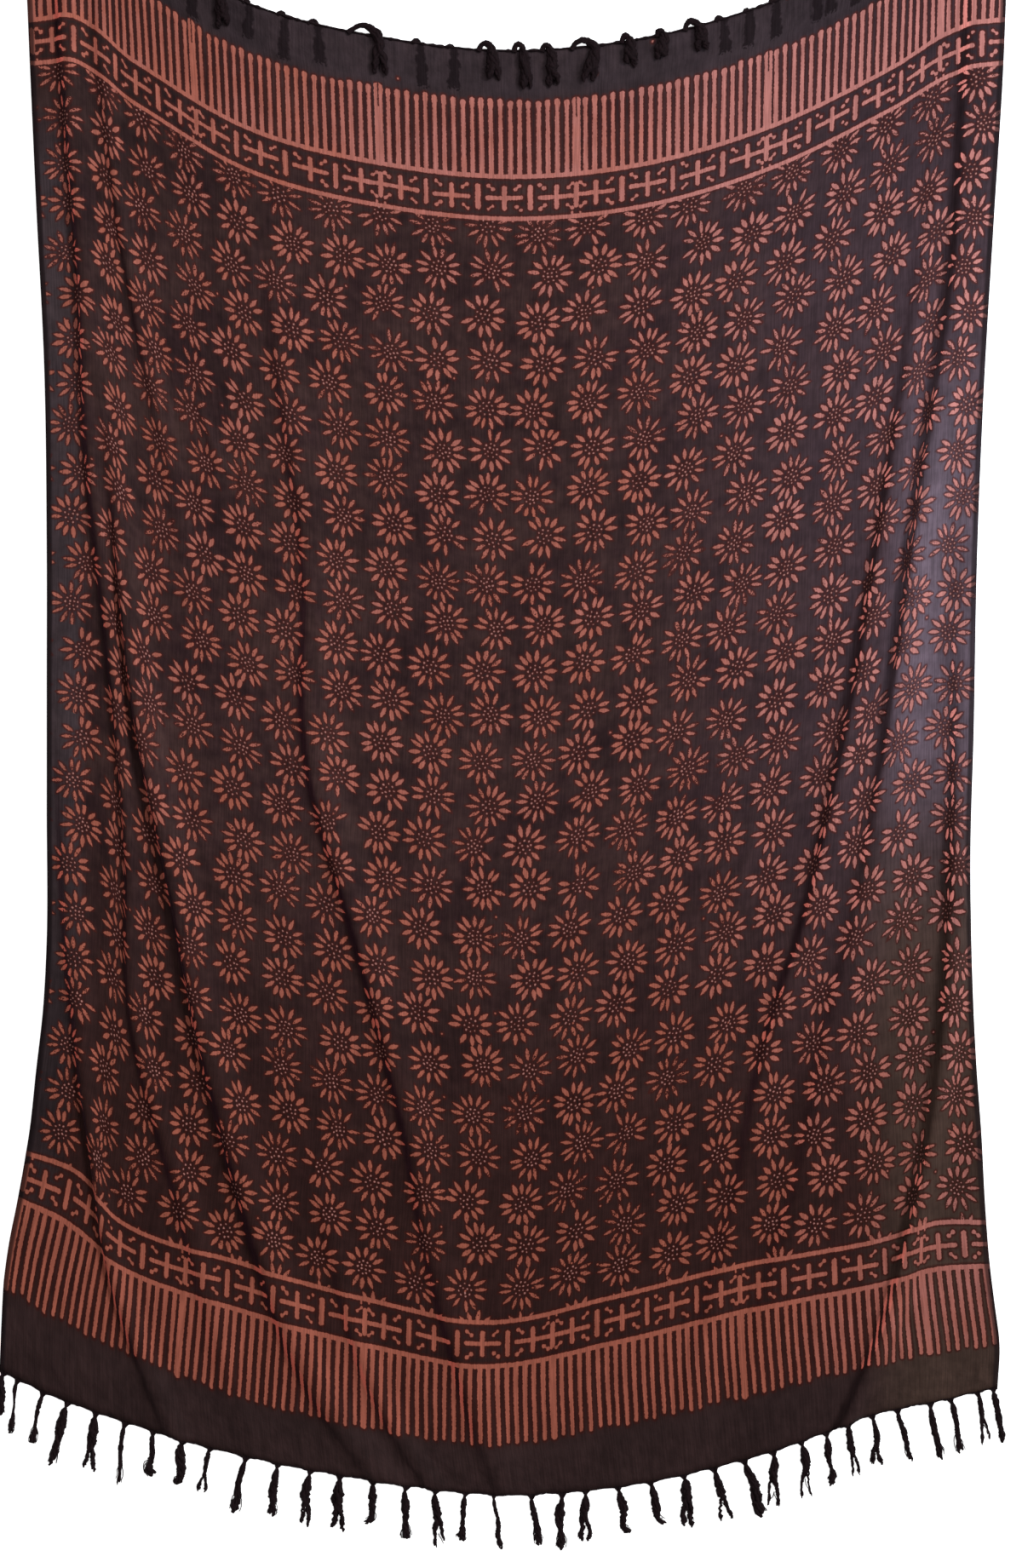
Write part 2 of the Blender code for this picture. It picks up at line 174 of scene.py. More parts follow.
# ---- the tassels ----
PLAIN, FORK, LOOSE, HOOK, HAIRY = "plain", "fork", "loose", "hook", "hairy"
LOWER_TASSELS = (
    # across, lean, reach, widths of the belly, waist and knob, how it ends, and to which side
    (6,    -3,  47, (8.0, 7.5, 6.5),    PLAIN, 1),
    (24,   -8,  59, (3.2, 3.4, 6.8),    HAIRY, 1),
    (56,   -14, 58, (5.2, 4.4, 8.2),    PLAIN, 1),
    (85,   -18, 70, (10.0, 8.4, 9.5),   HAIRY, -1),
    (120,  -9,  64, (9.6, 9.2, 12.0),   FORK,  1),
    (154,  -8,  69, (4.8, 4.6, 4.6),    PLAIN, 1),
    (188,  -5,  49, (5.2, 7.0, 12.5),   HOOK,  1),
    (223,  -5,  51, (10.2, 9.6, 8.0),   HOOK,  -1),
    (255,  -9,  48, (5.2, 4.4, 8.5),    FORK,  1),
    (297,  -14, 61, (6.4, 6.2, 10.8),   HAIRY, -1),
    (334,  -8,  57, (8.6, 9.2, 9.2),    PLAIN, -1),
    (371,  -7,  61, (9.4, 8.6, 8.8),    FORK,  1),
    (406,  -4,  60, (12.0, 11.4, 12.4), FORK,  -1),
    (444,  -5,  50, (8.4, 5.8, 6.4),    HOOK,  -1),
    (481,  1,   60, (8.4, 6.6, 10.6),   HAIRY, -1),
    (516,  6,   63, (7.4, 8.0, 8.0),    LOOSE, -1),
    (550,  -4,  54, (6.0, 4.6, 10.6),   PLAIN, -1),
    (583,  8,   60, (3.4, 5.2, 6.0),    PLAIN, 1),
    (626,  10,  55, (6.2, 6.6, 9.0),    HAIRY, 1),
    (660,  -2,  62, (9.4, 7.2, 9.6),    HAIRY, -1),
    (687,  -1,  57, (9.4, 8.6, 13.0),   FORK,  1),
    (725,  8,   54, (8.6, 6.6, 7.6),    HOOK,  1),
    (762,  12,  50, (8.8, 8.4, 6.4),    HOOK,  1),
    (800,  4,   58, (10.6, 11.0, 12.0), FORK,  1),
    (835,  14,  57, (8.8, 8.2, 8.8),    LOOSE, 1),
    (870,  20,  62, (8.8, 10.2, 12.0),  HAIRY, 1),
    (903,  0,   62, (10.6, 8.2, 7.6),   LOOSE, 1),
    (937,  6,   61, (9.6, 5.8, 6.8),    LOOSE, -1),
    (966,  8,   60, (8.2, 4.0, 9.0),    HOOK,  -1),
    (997,  11,  57, (8.2, 6.2, 7.0),    FORK,  1),
    (1030, 6,   55, (5.8, 7.0, 11.0),   FORK,  1),
    (1059, 16,  57, (5.8, 5.8, 6.0),    PLAIN, 1),
    (1096, 13,  62, (6.4, 6.2, 7.8),    HAIRY, 1),
    (1121, 11,  60, (6.0, 5.8, 7.2),    HAIRY, 1),
    (1152, 10,  58, (5.4, 5.8, 7.2),    LOOSE, -1),
    (1169, 12,  60, (6.4, 5.8, 6.6),    PLAIN, 1),
)
FACE, UNDER = 1, -1
UPPER_TASSELS = (
    # across, lean, reach, half width and height of its loop, the side of the cloth it is turned to
    (8,    3,  44, (4.0, 3.5),  UNDER),
    (44,   -4, 40, (3.5, 3.0),  UNDER),
    (80,   5,  46, (4.5, 4.0),  UNDER),
    (116,  0,  42, (3.0, 3.0),  UNDER),
    (152,  -6, 45, (4.0, 3.5),  UNDER),
    (188,  4,  38, (6.0, 6.5),  FACE),
    (224,  -3, 47, (4.0, 3.0),  UNDER),
    (259,  2,  41, (5.0, 6.0),  FACE),
    (294,  -4, 38, (4.0, 3.0),  UNDER),
    (335,  -5, 48, (4.5, 3.0),  UNDER),
    (371,  0,  42, (6.0, 4.0),  UNDER),
    (427,  2,  44, (17.0, 9.5), FACE),
    (485,  2,  47, (4.5, 4.0),  UNDER),
    (523,  0,  45, (4.0, 2.5),  UNDER),
    (561,  2,  34, (7.5, 8.0),  FACE),
    (597,  5,  43, (5.0, 8.0),  FACE),
    (627,  3,  42, (5.0, 5.5),  FACE),
    (667,  -7, 42, (13.0, 7.5), FACE),
    (714,  0,  30, (4.5, 6.5),  FACE),
    (752,  -4, 30, (3.5, 5.0),  FACE),
    (787,  5,  28, (8.0, 7.5),  FACE),
    (819,  2,  38, (5.0, 4.0),  UNDER),
    (850,  1,  40, (3.0, 2.5),  UNDER),
    (881,  0,  41, (4.0, 3.0),  UNDER),
    (929,  2,  42, (4.0, 3.0),  UNDER),
    (945,  3,  40, (3.5, 3.0),  UNDER),
    (976,  3,  45, (4.0, 3.5),  UNDER),
    (1006, -2, 39, (3.5, 3.0),  UNDER),
    (1037, 5,  43, (4.0, 4.0),  UNDER),
    (1072, -3, 41, (4.5, 3.0),  UNDER),
    (1107, 2,  46, (4.0, 3.5),  UNDER),
    (1139, -4, 40, (4.0, 3.0),  UNDER),
    (1167, -2, 44, (3.0, 3.0),  UNDER),
)
LOWER_STEPS = 22            # steps from a tassel's root to its tip
UPPER_STEPS = 24
YARNS_A_TASSEL = 10
YARNS_BENEATH = 5           # in a tassel that is turned under
FACE_GIRTH = ((0.0, 0.08, 0.25, 0.42, 0.62, 0.86, 1.0), (2.9, 2.8, 3.2, 4.6, 6.0, 6.6, 5.0))
UNDER_GIRTH = ((0.0, 0.15, 0.5, 1.0), (2.8, 2.9, 2.8, 2.0))     # half widths at shares of its length
RAGGED = 0.34               # how far a yarn strays at each step, as a share of the tassel's half width
UNDER_SHOW = (1.3, 6.0)     # height and half width of the swell that a tassel beneath makes in the cloth

# ---- the print ----
BORDER = {                  # distances from the nearer hem
    "comb end": 57.0,
    "comb line": 145.0,
    "inner line": 194.0,
}
LINE_HALF = {"comb line": 2.6, "inner line": 2.5}   # half widths
BAND_MIDDLE = (BORDER["comb line"] + BORDER["inner line"]) / 2
UPPER_BORDER_STRETCH = 1.037    # the upper border is a little shorter than the lower one
STAMP_WIDTH = 218.5             # one block of the print, pressed again and again
STAMP_START = 4.0
STRIPES_A_STAMP = 21
STRIPE_HALF = 2.75              # half width of a stripe at its line, and what it loses to its free end
STRIPE_TAPER = 0.8
BALL_STRETCH = (12.0, 5.0)      # in the upper comb a stripe swells this far from its free end
SLIT = (0.8, 80.0)              # in the stripe at an upper joint: half width, and its end from the hem
CROSS_PITCH = 58.0
FIRST_CROSS = 22.25             # from the edge of a block, so two crosses stand closer at every joint
CROSSES_A_STAMP = 4
CROSS_UPRIGHT = (11.8, 2.6)     # half length and half width of each stroke
CROSS_ARM = (18.8, 2.35)
SHORT_BAR = (12.0, 2.75)
TICK = (4.6, 1.1)
TICK_PLACE = 4.6                # from the joint of two blocks
BELL_PLACE = (14.6, 11.4)       # the middle of a dumb-bell from that of its cross
BELL_SLANT = (0.78, 0.62)       # cosine and sine
BELL_LOBE = (3.1, 1.75)         # how far a lobe is from the dumb-bell's middle, and its least radius
BELL_WAIST = (2.0, 1.0)         # half length and half width
FLOWER_START = (33.0, 226.0)    # across and along
FLOWER_PITCH = (58.5, 51.2)
FLOWER_SWAY = 0.09              # how far the rows and columns wander, as shares of their pitch
FLOWER_ZIGZAG = 0.08
FLOWER_STRAY = 0.16
LEAST_PETALS = 12.0
PETAL_START = 11.6              # from the flower's middle
PETAL_LENGTH = 12.8
PETAL_HALF = 2.1
RING_STRAY = 0.22               # how far petals and dots stray from even places
OUTER_DOTS = 7.5                # radius of each ring of dots, and the radius that parts them
INNER_DOTS = 3.2
DOT_RINGS_PART = 5.4
STRAY_APART = 31.0              # drops of wax: one place to a square of this side, and the share hit
STRAY_SHARE = 0.07


# ---- curves through a table ----
def through(stations, values, at):
    """A smooth curve through (stations, values), read at each place in at."""
    stations = np.asarray(stations, float)
    values = np.asarray(values, float)
    steps = np.diff(stations)
    slopes = np.diff(values) / steps
    tangent = np.empty_like(values)
    tangent[0], tangent[-1] = slopes[0], slopes[-1]
    tangent[1:-1] = (slopes[:-1] * steps[1:] + slopes[1:] * steps[:-1]) / (steps[:-1] + steps[1:])
    at = np.clip(np.asarray(at, float), stations[0], stations[-1])
    i = np.clip(np.searchsorted(stations, at, side="right") - 1, 0, len(steps) - 1)
    t = (at - stations[i]) / steps[i]
    lower = (1 + 2 * t) * (1 - t) ** 2 * values[i] + t * (1 - t) ** 2 * steps[i] * tangent[i]
    upper = t * t * (3 - 2 * t) * values[i + 1] + t * t * (t - 1) * steps[i] * tangent[i + 1]
    return lower + upper


def column(table, index):
    return [row[index] for row in table]


def smooth_step(t):
    t = np.clip(t, 0.0, 1.0)
    return t * t * (3.0 - 2.0 * t)


# ---- the lie of the cloth ----
def thread_height(across, along):
    """Y of the level thread at this distance along, at each place across."""
    share = np.asarray(across, float) / CLOTH_WIDTH
    stations = column(THREADS, 0)
    bows = [middle + through(ACROSS_SHARE, rise, share) for _, middle, rise in THREADS]
    k = min(int(np.searchsorted(stations, along, side="right")) - 1, len(stations) - 2)
    t = (along - stations[k]) / (stations[k + 1] - stations[k])
    return bows[k] * (1 - t) + bows[k + 1] * t


def crease_height(across, along):
    """The small creases, the swells over the tassels beneath, and the firm selvedges."""
    height = np.zeros_like(across)
    for at_across, at_along, turn, half_length, half_width, rise in CREASES:
        if abs(along - at_along) > half_length + half_width:
            continue
        angle = math.radians(turn)
        dx, dy = across - at_across, along - at_along
        lengthwise = (dx * math.sin(angle) + dy * math.cos(angle)) / half_length
        sideways = (dx * math.cos(angle) - dy * math.sin(angle)) / half_width
        height += rise * (1 - smooth_step(np.abs(lengthwise))) * (1 - smooth_step(np.abs(sideways)))
    rise, half_width = UNDER_SHOW
    for at_across, lean, reach, _, side in UPPER_TASSELS:
        back = (CLOTH_LENGTH - along) / reach
        if side == UNDER and back < 1.25:
            middle = at_across + lean * back
            fade = 1 - smooth_step((back - 0.85) / 0.4)
            height += rise * fade * (1 - smooth_step(np.abs(across - middle) / half_width))
    roll, roll_width = SELVEDGE_ROLL
    from_edge = np.minimum(across, CLOTH_WIDTH - across)
    return height + roll * (1 - smooth_step(from_edge / roll_width))


def relief(across, along):
    """Height of the cloth's underside above the floor."""
    across = np.asarray(across, float)
    height = crease_height(across, along)
    for _, left_foot, right_foot, places, heights in FOLDS:
        crest = float(through(FOLD_ALONG, places, along))
        rise = max(0.0, float(through(FOLD_ALONG, heights, along)))
        foot = np.where(across < crest, left_foot, right_foot)
        t = np.clip(np.abs(across - crest) / foot, 0.0, 1.0)
        height += rise * np.cos(0.5 * math.pi * t) ** 2
    lift = smooth_step((along - (CLOTH_LENGTH - HEAD_LIFT_FULL - HEAD_LIFT_FADE)) / HEAD_LIFT_FADE)
    return height + HEAD_LIFT * lift


class Thread:
    """One level thread laid down. It keeps its length, so X advances only by what its bow and the
    folds leave of it, and it can be read at any place across the cloth."""

    def __init__(self, along):
        self.across = np.linspace(0.0, CLOTH_WIDTH, FINE + 1)
        self.y = thread_height(self.across, along)
        self.z = relief(self.across, along)
        step = self.across[1]
        rise, climb = np.diff(self.y) / step, np.diff(self.z) / step
        run = np.sqrt(np.clip(1.0 - rise ** 2 - climb ** 2, 0.08, 1.0))
        x = np.concatenate(([0.0], np.cumsum(run)))
        stations, *sides = (column(SELVEDGES, i) for i in range(3))
        left, right = (float(through(stations, side, along)) for side in sides)
        self.x = left + (right - left) * x / x[-1]
        self.slope = np.gradient(self.z, self.across)

    def places(self, count):
        """Places across of the shell's columns, closer together where the cloth is steep."""
        soft = np.convolve(np.abs(self.slope), np.ones(15) / 15, mode="same")
        weight = 1.0 + CROWDING * soft
        total = np.concatenate(([0.0], np.cumsum((weight[1:] + weight[:-1]) / 2)))
        return np.interp(np.linspace(0.0, 1.0, count + 1), total / total[-1], self.across)

    def read(self, across):
        """X, Y and Z of the underside at each place across."""
        return (np.interp(across, self.across, self.x), np.interp(across, self.across, self.y),
                np.interp(across, self.across, self.z))

    def point(self, across, up=0.0):
        x, y, z = self.read(across)
        return Vector((float(x), float(y), float(z) + up))

    def outward(self, across, sign):
        """The hem's direction and the level direction out of the cloth; sign is 1 at the lower hem."""
        ahead = self.point(min(across + 4.0, CLOTH_WIDTH)) - self.point(max(across - 4.0, 0.0))
        tangent = Vector((ahead.x, ahead.y, 0.0)).normalized()
        return tangent, Vector((tangent.y, -tangent.x, 0.0)) * sign


def hem_arch(across, along):
    """How far the cloth near the lower hem draws back between two tassels."""
    depth, ends = HEM_ARCHES
    roots = np.asarray((0.0, *column(LOWER_TASSELS, 0), CLOTH_WIDTH))
    i = np.clip(np.searchsorted(roots, across, side="right") - 1, 0, len(roots) - 2)
    gap = roots[i + 1] - roots[i]
    arch = np.sin(math.pi * np.clip((across - roots[i]) / gap, 0.0, 1.0)) ** 0.7
    return depth * arch * np.minimum(1.0, gap / 30.0) * (1 - smooth_step(along / ends))


LOWER_HEM = Thread(0.0)
UPPER_HEM = Thread(CLOTH_LENGTH)
PANEL_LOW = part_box("cloth_panel")[0] / MM
ORIGIN = Vector((PANEL_LOW.x - LOWER_HEM.x[0], PANEL_LOW.y - LOWER_HEM.y.min(), 0.0))   # of the tables


# ---- the cloth ----
def row_places():
    """How far along the cloth each row of the shell lies, and the finish of the faces that follow it."""
    places, finishes = [], []
    for begin, end, count, finish in ROWS:
        places += [begin + (end - begin) * row / count for row in range(count)]
        finishes += [finish] * count
    return places + [CLOTH_LENGTH], finishes


def drawn_to_roots(places):
    """The hem's columns, with the nearest one moved to each tassel's root."""
    for root in column(LOWER_TASSELS, 0):
        places[int(np.argmin(np.abs(places - root)))] = root
    return places


def make_cloth(finishes):
    """The printed cloth: one grid laid down thread by thread. It carries its cut sizes as a map, and how
    steeply it climbs to the right as the attribute "climb"."""
    alongs, row_finish = row_places()
    rows = len(row_finish)
    bm = bmesh.new()
    bmesh.ops.create_grid(bm, x_segments=COLUMNS, y_segments=rows, size=0.5)
    bm.verts.ensure_lookup_table()
    seats = [(round((v.co.y + 0.5) * rows), round((v.co.x + 0.5) * COLUMNS)) for v in bm.verts]
    threads = []
    for row, along in enumerate(alongs):
        thread = Thread(along)
        places = thread.places(COLUMNS)
        if row == 0:
            places = drawn_to_roots(places)
        x, y, z = thread.read(places)
        slope = np.interp(places, thread.across, thread.slope)
        threads.append((places, x, y + hem_arch(places, along), z, slope))
    cut = []
    climb = bm.verts.layers.float.new("climb")
    for vert, (row, col) in zip(bm.verts, seats):
        places, x, y, z, slope = threads[row]
        vert.co = (Vector((x[col], y[col], z[col])) + ORIGIN) * MM
        vert[climb] = slope[col]
        cut.append((places[col] * MM, alongs[row] * MM))
    bm.verts.index_update()
    layer = bm.loops.layers.uv.new("cut")
    names = list(finishes)
    for face in bm.faces:
        face.smooth = True
        face.material_index = names.index(row_finish[min(seats[vert.index][0] for vert in face.verts)])
        for loop in face.loops:
            loop[layer].uv = cut[loop.vert.index]
    cloth = piece("sarong_cloth", bm)
    for material in finishes.values():
        cloth.data.materials.append(material)
    shell = cloth.modifiers.new("cloth wall", "SOLIDIFY")
    shell.thickness = CLOTH_WALL * MM
    shell.offset = 1.0
    shell.use_even_offset = True
    return cloth


def add_piece(name, mesh):
    """Put a finished mesh in the scene as the piece of this name."""
    mesh.name = name
    obj = bpy.data.objects.new(name, mesh)
    bpy.context.scene.collection.objects.link(obj)
    return obj


def piece(name, bm):
    mesh = bpy.data.meshes.new(name)
    bm.to_mesh(mesh)
    bm.free()
    return add_piece(name, mesh)


# ---- the fringes ----
def spine(points, count):
    """A smooth line through a few points, read at evenly spaced shares of their chords."""
    points = [Vector(p) for p in points]
    chords = np.concatenate(([0.0], np.cumsum([(b - a).length for a, b in zip(points, points[1:])])))
    at = np.linspace(0.0, chords[-1], count)
    axes = [through(chords, [p[axis] for p in points], at) for axis in range(3)]
    return [Vector(place) for place in zip(*axes)]


def across_line(line, i):
    """The level direction across a line at one of its points."""
    ahead = line[min(i + 1, len(line) - 1)] - line[max(i - 1, 0)]
    return Vector((ahead.y, -ahead.x, 0.0)).normalized()


def twist(line, girth, count, turns, draw, floor, fan=None, flatten=0.72, parting=None):
    """Yarns twisted round a line: each is a list of (point, radius).

    girth gives the bundle's half width at a share of the line, floor the height of what it lies on, and
    fan how far its yarns are spread along the hem at the root, and up to where. parting is where the
    bundle divides, how far its halves stand apart at the end and how many yarns go with the first.
    """
    yarns = []
    last = len(line) - 1
    start = draw.uniform(0, math.tau)
    for j in range(count):
        phase = start + math.tau * j / count
        pace = turns * draw.uniform(0.9, 1.1)
        stray = draw.uniform(-0.14, 0.14)
        cut = last - draw.choice((0, 1, 1, 2, 3, 4))
        yarn = []
        for i in range(cut + 1):
            t = i / last
            side = across_line(line, i)
            half = girth(t)
            angle = phase + math.tau * pace * t
            reach = half * (0.58 + stray)
            offset = reach * math.cos(angle)
            radius = half * 0.46
            if parting and t > parting[0]:
                begin, spread, first = parting
                share = (t - begin) / (1 - begin)
                hand = -1 if j < first else 1
                apart = hand * (0.25 * half + spread * share ** 0.7)
                offset += (apart + 0.35 * offset - offset) * min(1.0, share * 3)
                radius *= 1 - 0.25 * min(1.0, share * 2)
            ragged = half * RAGGED * min(1.0, 3 * t)
            radius *= draw.uniform(0.8, 1.2) * (0.6 if i == cut else 1.0)
            spot = line[i] + side * (offset + draw.uniform(-ragged, ragged))
            spot.z += reach * flatten * math.sin(angle)
            if fan:
                spread = (1 - smooth_step(t / fan[1])) * fan[0] * (2 * (j + 0.5) / count - 1)
                spot += side * float(spread)
            spot.z = max(spot.z, floor(spot) + radius)
            yarn.append((spot, radius))
        yarns.append(yarn)
    return yarns


def hair(line, begin, end, offset, radius, draw, floor):
    """A loose thread that leaves a tassel part of the way down and runs beside it."""
    last = len(line) - 1
    yarn = []
    for i in range(int(begin * last), int(end * last) + 1):
        t = (i / last - begin) / (end - begin)
        side = across_line(line, i)
        spot = line[i] + side * (offset * float(smooth_step(t * 1.6)) + draw.uniform(-0.6, 0.6))
        spot.z = floor(spot) + radius + 0.8 * (1 - t)
        yarn.append((spot, radius * (1 - 0.35 * t)))
    return yarn


def on_floor(spot):
    """The height that a yarn lies at on the floor, wherever it is."""
    return 0.2


def on_cloth(spot):
    """The height that a yarn lies at on the face of the cloth, near the upper hem."""
    across = float(np.interp(spot.x, UPPER_HEM.x, UPPER_HEM.across))
    return float(np.interp(across, UPPER_HEM.across, UPPER_HEM.z)) + CLOTH_WALL + 0.15


def girth_of(widths, draw):
    """Half width of a tassel along its length: a tight neck, a belly, a waist, and its knob or end."""
    belly, waist, knob = (width / 2 for width in widths)
    shares = (0.0, 0.07, 0.13, 0.34, 0.66, 0.84, 0.94, 1.0)
    halves = (2.6, 1.5, 1.7 + 0.25 * belly, belly, waist, knob * 0.86, knob * 0.92, knob * 0.8)
    rough = [1.0, 1.0] + [draw.uniform(0.9, 1.1) for _ in shares[2:]]
    return lambda t: float(through(shares, [half * r for half, r in zip(halves, rough)], t))


def hem_cord(hem, sign, radius, draw):
    """The twined thread that closes a hem."""
    yarn = []
    places = np.union1d(np.linspace(0.6, CLOTH_WIDTH - 0.6, 330), column(LOWER_TASSELS, 0))
    for across in places:
        _, out = hem.outward(across, sign)
        spot = hem.point(across, 0.5 + radius * 0.4) + out * (0.4 + draw.uniform(-0.25, 0.25))
        if sign > 0:
            spot.y += float(hem_arch(across, 0.0))
        yarn.append((spot, radius * draw.choice((0.8, 0.9, 1.0, 1.1, 1.2, 1.7))))
    return yarn


def lower_line(across, lean, reach, thick, end, hand, draw):
    """The middle line of a tassel that lies out from the lower hem on the floor."""
    root = LOWER_HEM.point(across)
    tangent, out = LOWER_HEM.outward(across, 1.0)
    tip = root + Vector((lean, -reach, 0.0))
    tip.z = 0.3 * thick
    neck = root + out * 5.0
    neck.z = max(0.3 * thick, root.z * 0.6)
    sway = draw.uniform(-1.2, 1.2) + 0.03 * lean
    middle = neck.lerp(tip, 0.42) + tangent * sway * 1.5
    low = neck.lerp(tip, 0.76) - tangent * sway
    if end == HOOK:
        low = neck.lerp(tip, 0.80) - tangent * hand
        tip += tangent * hand * 5.0 + Vector((0.0, 4.0, 0.0))
    return spine([root - out * 1.5 + Vector((0, 0, 0.6)), neck, middle, low, tip], LOWER_STEPS)


def lower_yarns():
    """The lower fringe: each tassel gathers the warp at a point of the hem and lies out on the floor."""
    draw = random.Random(11)
    yarns = [hem_cord(LOWER_HEM, 1.0, 0.8, draw)]
    for across, lean, reach, widths, end, hand in LOWER_TASSELS:
        line = lower_line(across, lean, reach, max(widths), end, hand, draw)
        parting = {FORK: (draw.uniform(0.42, 0.62), 0.36 * widths[2], YARNS_A_TASSEL // 2),
                   LOOSE: (draw.uniform(0.38, 0.52), 0.62 * widths[2], 2)}.get(end)
        if end == LOOSE and hand > 0:
            parting = (parting[0], parting[1], YARNS_A_TASSEL - 2)
        yarns += twist(line, girth_of(widths, draw), YARNS_A_TASSEL, draw.uniform(0.7, 1.4), draw, on_floor,
                       fan=(min(4.5, 1.5 + 0.4 * widths[0]), 0.12), parting=parting)
        for _ in range(5 if end == HAIRY else 2):
            begin = draw.uniform(0.5, 0.8)
            offset = draw.choice((-1, 1)) * (widths[2] / 2 + draw.uniform(-0.5, 1.4))
            yarns.append(hair(line, begin, draw.uniform(0.90, 1.0), offset, draw.uniform(0.5, 0.75),
                              draw, on_floor))
    return yarns


def tassel_on_face(start, over, back, out, high, draw):
    """A tassel that loops up over the upper hem and frays on the face of the cloth."""
    top = start.lerp(over, 0.5) + out * high
    top.z = start.z + 3.0
    shoulder = over - out * 1.5
    shoulder.z = start.z + 4.0
    rising = start.lerp(top, 0.55) + out * high * 0.25
    falling = over.lerp(top, 0.5) + out * high * 0.2
    line = spine([start - out * 1.5, rising, top, falling, shoulder, shoulder.lerp(back, 0.5), back],
                 UPPER_STEPS)
    turned = line.index(min(line, key=lambda spot: (spot - shoulder).length))
    for spot in line[turned:]:
        spot.z = on_cloth(spot) + 1.9
    parting = (draw.uniform(0.62, 0.80), draw.uniform(2.4, 5.4), draw.choice((4, 5, 6)))
    yarns = twist(line, lambda t: float(through(*FACE_GIRTH, t)), YARNS_A_TASSEL, draw.uniform(0.9, 1.4),
                  draw, on_cloth, parting=parting)
    for _ in range(3):
        begin = draw.uniform(0.55, 0.75)
        yarns.append(hair(line, begin, draw.uniform(0.88, 1.0), draw.uniform(-7.5, 7.5),
                          draw.uniform(0.5, 0.75), draw, on_cloth))
    return yarns


def tassel_turned_under(start, over, back, out, high, draw):
    """A tassel turned under the upper hem, pressed flat between the cloth and the floor."""
    top = start.lerp(over, 0.5) + out * high
    top.z = 3.4
    under = over - out * 3.0
    under.z = 2.2
    back.z = 2.0
    line = spine([start - out, top, under, under.lerp(back, 0.5), back], UPPER_STEPS)
    bundle = twist(line, lambda t: float(through(*UNDER_GIRTH, t)), YARNS_BENEATH, draw.uniform(0.7, 1.2),
                   draw, on_floor, flatten=0.25)
    for yarn in bundle:
        for spot, radius in yarn[int(UPPER_STEPS * 0.22):]:
            spot.z = min(spot.z, HEAD_LIFT - 0.3 - radius)
    return bundle


def upper_yarns():
    """The upper fringe: tassels turned back in a small loop, over the face of the cloth or beneath it."""
    draw = random.Random(29)
    yarns = [hem_cord(UPPER_HEM, -1.0, 1.2, draw)]
    for across, lean, reach, (wide, high), side in UPPER_TASSELS:
        _, out = UPPER_HEM.outward(across, -1.0)
        start = UPPER_HEM.point(max(across - wide, 2.0), 0.8)
        over = UPPER_HEM.point(min(across + wide, CLOTH_WIDTH - 2.0), 0.0)
        back = over + Vector((lean, -reach, 0.0))
        make_tassel = tassel_on_face if side == FACE else tassel_turned_under
        yarns += make_tassel(start, over, back, out, high, draw)
    return yarns


def make_fringe(name, yarns, finish):
    """All the yarns of one fringe as one mesh of thin closed tubes."""
    curve = bpy.data.curves.new(name, "CURVE")
    curve.dimensions = "3D"
    curve.bevel_depth = MM
    curve.bevel_resolution = 1
    curve.use_fill_caps = True
    for yarn in yarns:
        spline = curve.splines.new("POLY")
        spline.points.add(len(yarn) - 1)
        for point, (spot, radius) in zip(spline.points, yarn):
            point.co = (*((spot + ORIGIN) * MM), 1.0)
            point.radius = radius
    drawn = bpy.data.objects.new(name + "_line", curve)
    bpy.context.scene.collection.objects.link(drawn)
    graph = bpy.context.evaluated_depsgraph_get()
    mesh = bpy.data.meshes.new_from_object(drawn.evaluated_get(graph))
    bpy.data.objects.remove(drawn)
    mesh.shade_smooth()
    mesh.materials.append(finish)
    return add_piece(name, mesh)


# ---- sums in a material ----
def feed(tree, slot, term):
    """Give a node's input a number, a plain colour, or what another node puts out."""
    if isinstance(term, Value):
        term = term.socket
    if isinstance(term, bpy.types.NodeSocket):
        tree.links.new(term, slot)
    else:
        slot.default_value = term


def set_inputs(node, **numbers):
    """Set a node's inputs by name, with _ for each space."""
    for name, number in numbers.items():
        node.inputs[name.replace("_", " ")].default_value = number


class Value:
    """A number that changes over the surface. Each sum written with it adds a node."""

    def __init__(self, tree, socket):
        self.tree = tree
        self.socket = socket

    def sum(self, operation, *others):
        node = self.tree.nodes.new("ShaderNodeMath")
        node.operation = operation
        for slot, term in zip(node.inputs, (self, *others)):
            feed(self.tree, slot, term)
        return Value(self.tree, node.outputs[0])

    __add__ = __radd__ = partialmethod(sum, "ADD")
    __mul__ = __rmul__ = partialmethod(sum, "MULTIPLY")
    __sub__ = partialmethod(sum, "SUBTRACT")
    __truediv__ = partialmethod(sum, "DIVIDE")
    floor = partialmethod(sum, "FLOOR")
    abs = partialmethod(sum, "ABSOLUTE")
    root = partialmethod(sum, "SQRT")
    power = partialmethod(sum, "POWER")
    least = partialmethod(sum, "MINIMUM")
    most = partialmethod(sum, "MAXIMUM")
    above = partialmethod(sum, "GREATER_THAN")
    below = partialmethod(sum, "LESS_THAN")
    sine = partialmethod(sum, "SINE")
    cosine = partialmethod(sum, "COSINE")
    angle_from = partialmethod(sum, "ARCTAN2")
    remainder = partialmethod(sum, "FLOORED_MODULO")

    def __rsub__(self, other):
        return (self * -1.0) + other

    def __rtruediv__(self, other):
        return self.power(-1.0) * other

    def ease(self, start, end, low=0.0, high=1.0):
        """Smoothly from low, at start, to high, at end."""
        node = self.tree.nodes.new("ShaderNodeMapRange")
        node.interpolation_type = "SMOOTHSTEP"
        if start > end:
            start, end, low, high = end, start, high, low
        for slot, term in zip(node.inputs, (self, start, end, low, high)):
            feed(self.tree, slot, term)
        return Value(self.tree, node.outputs[0])


def length_of(a, b):
    return (a * a + b * b).root()


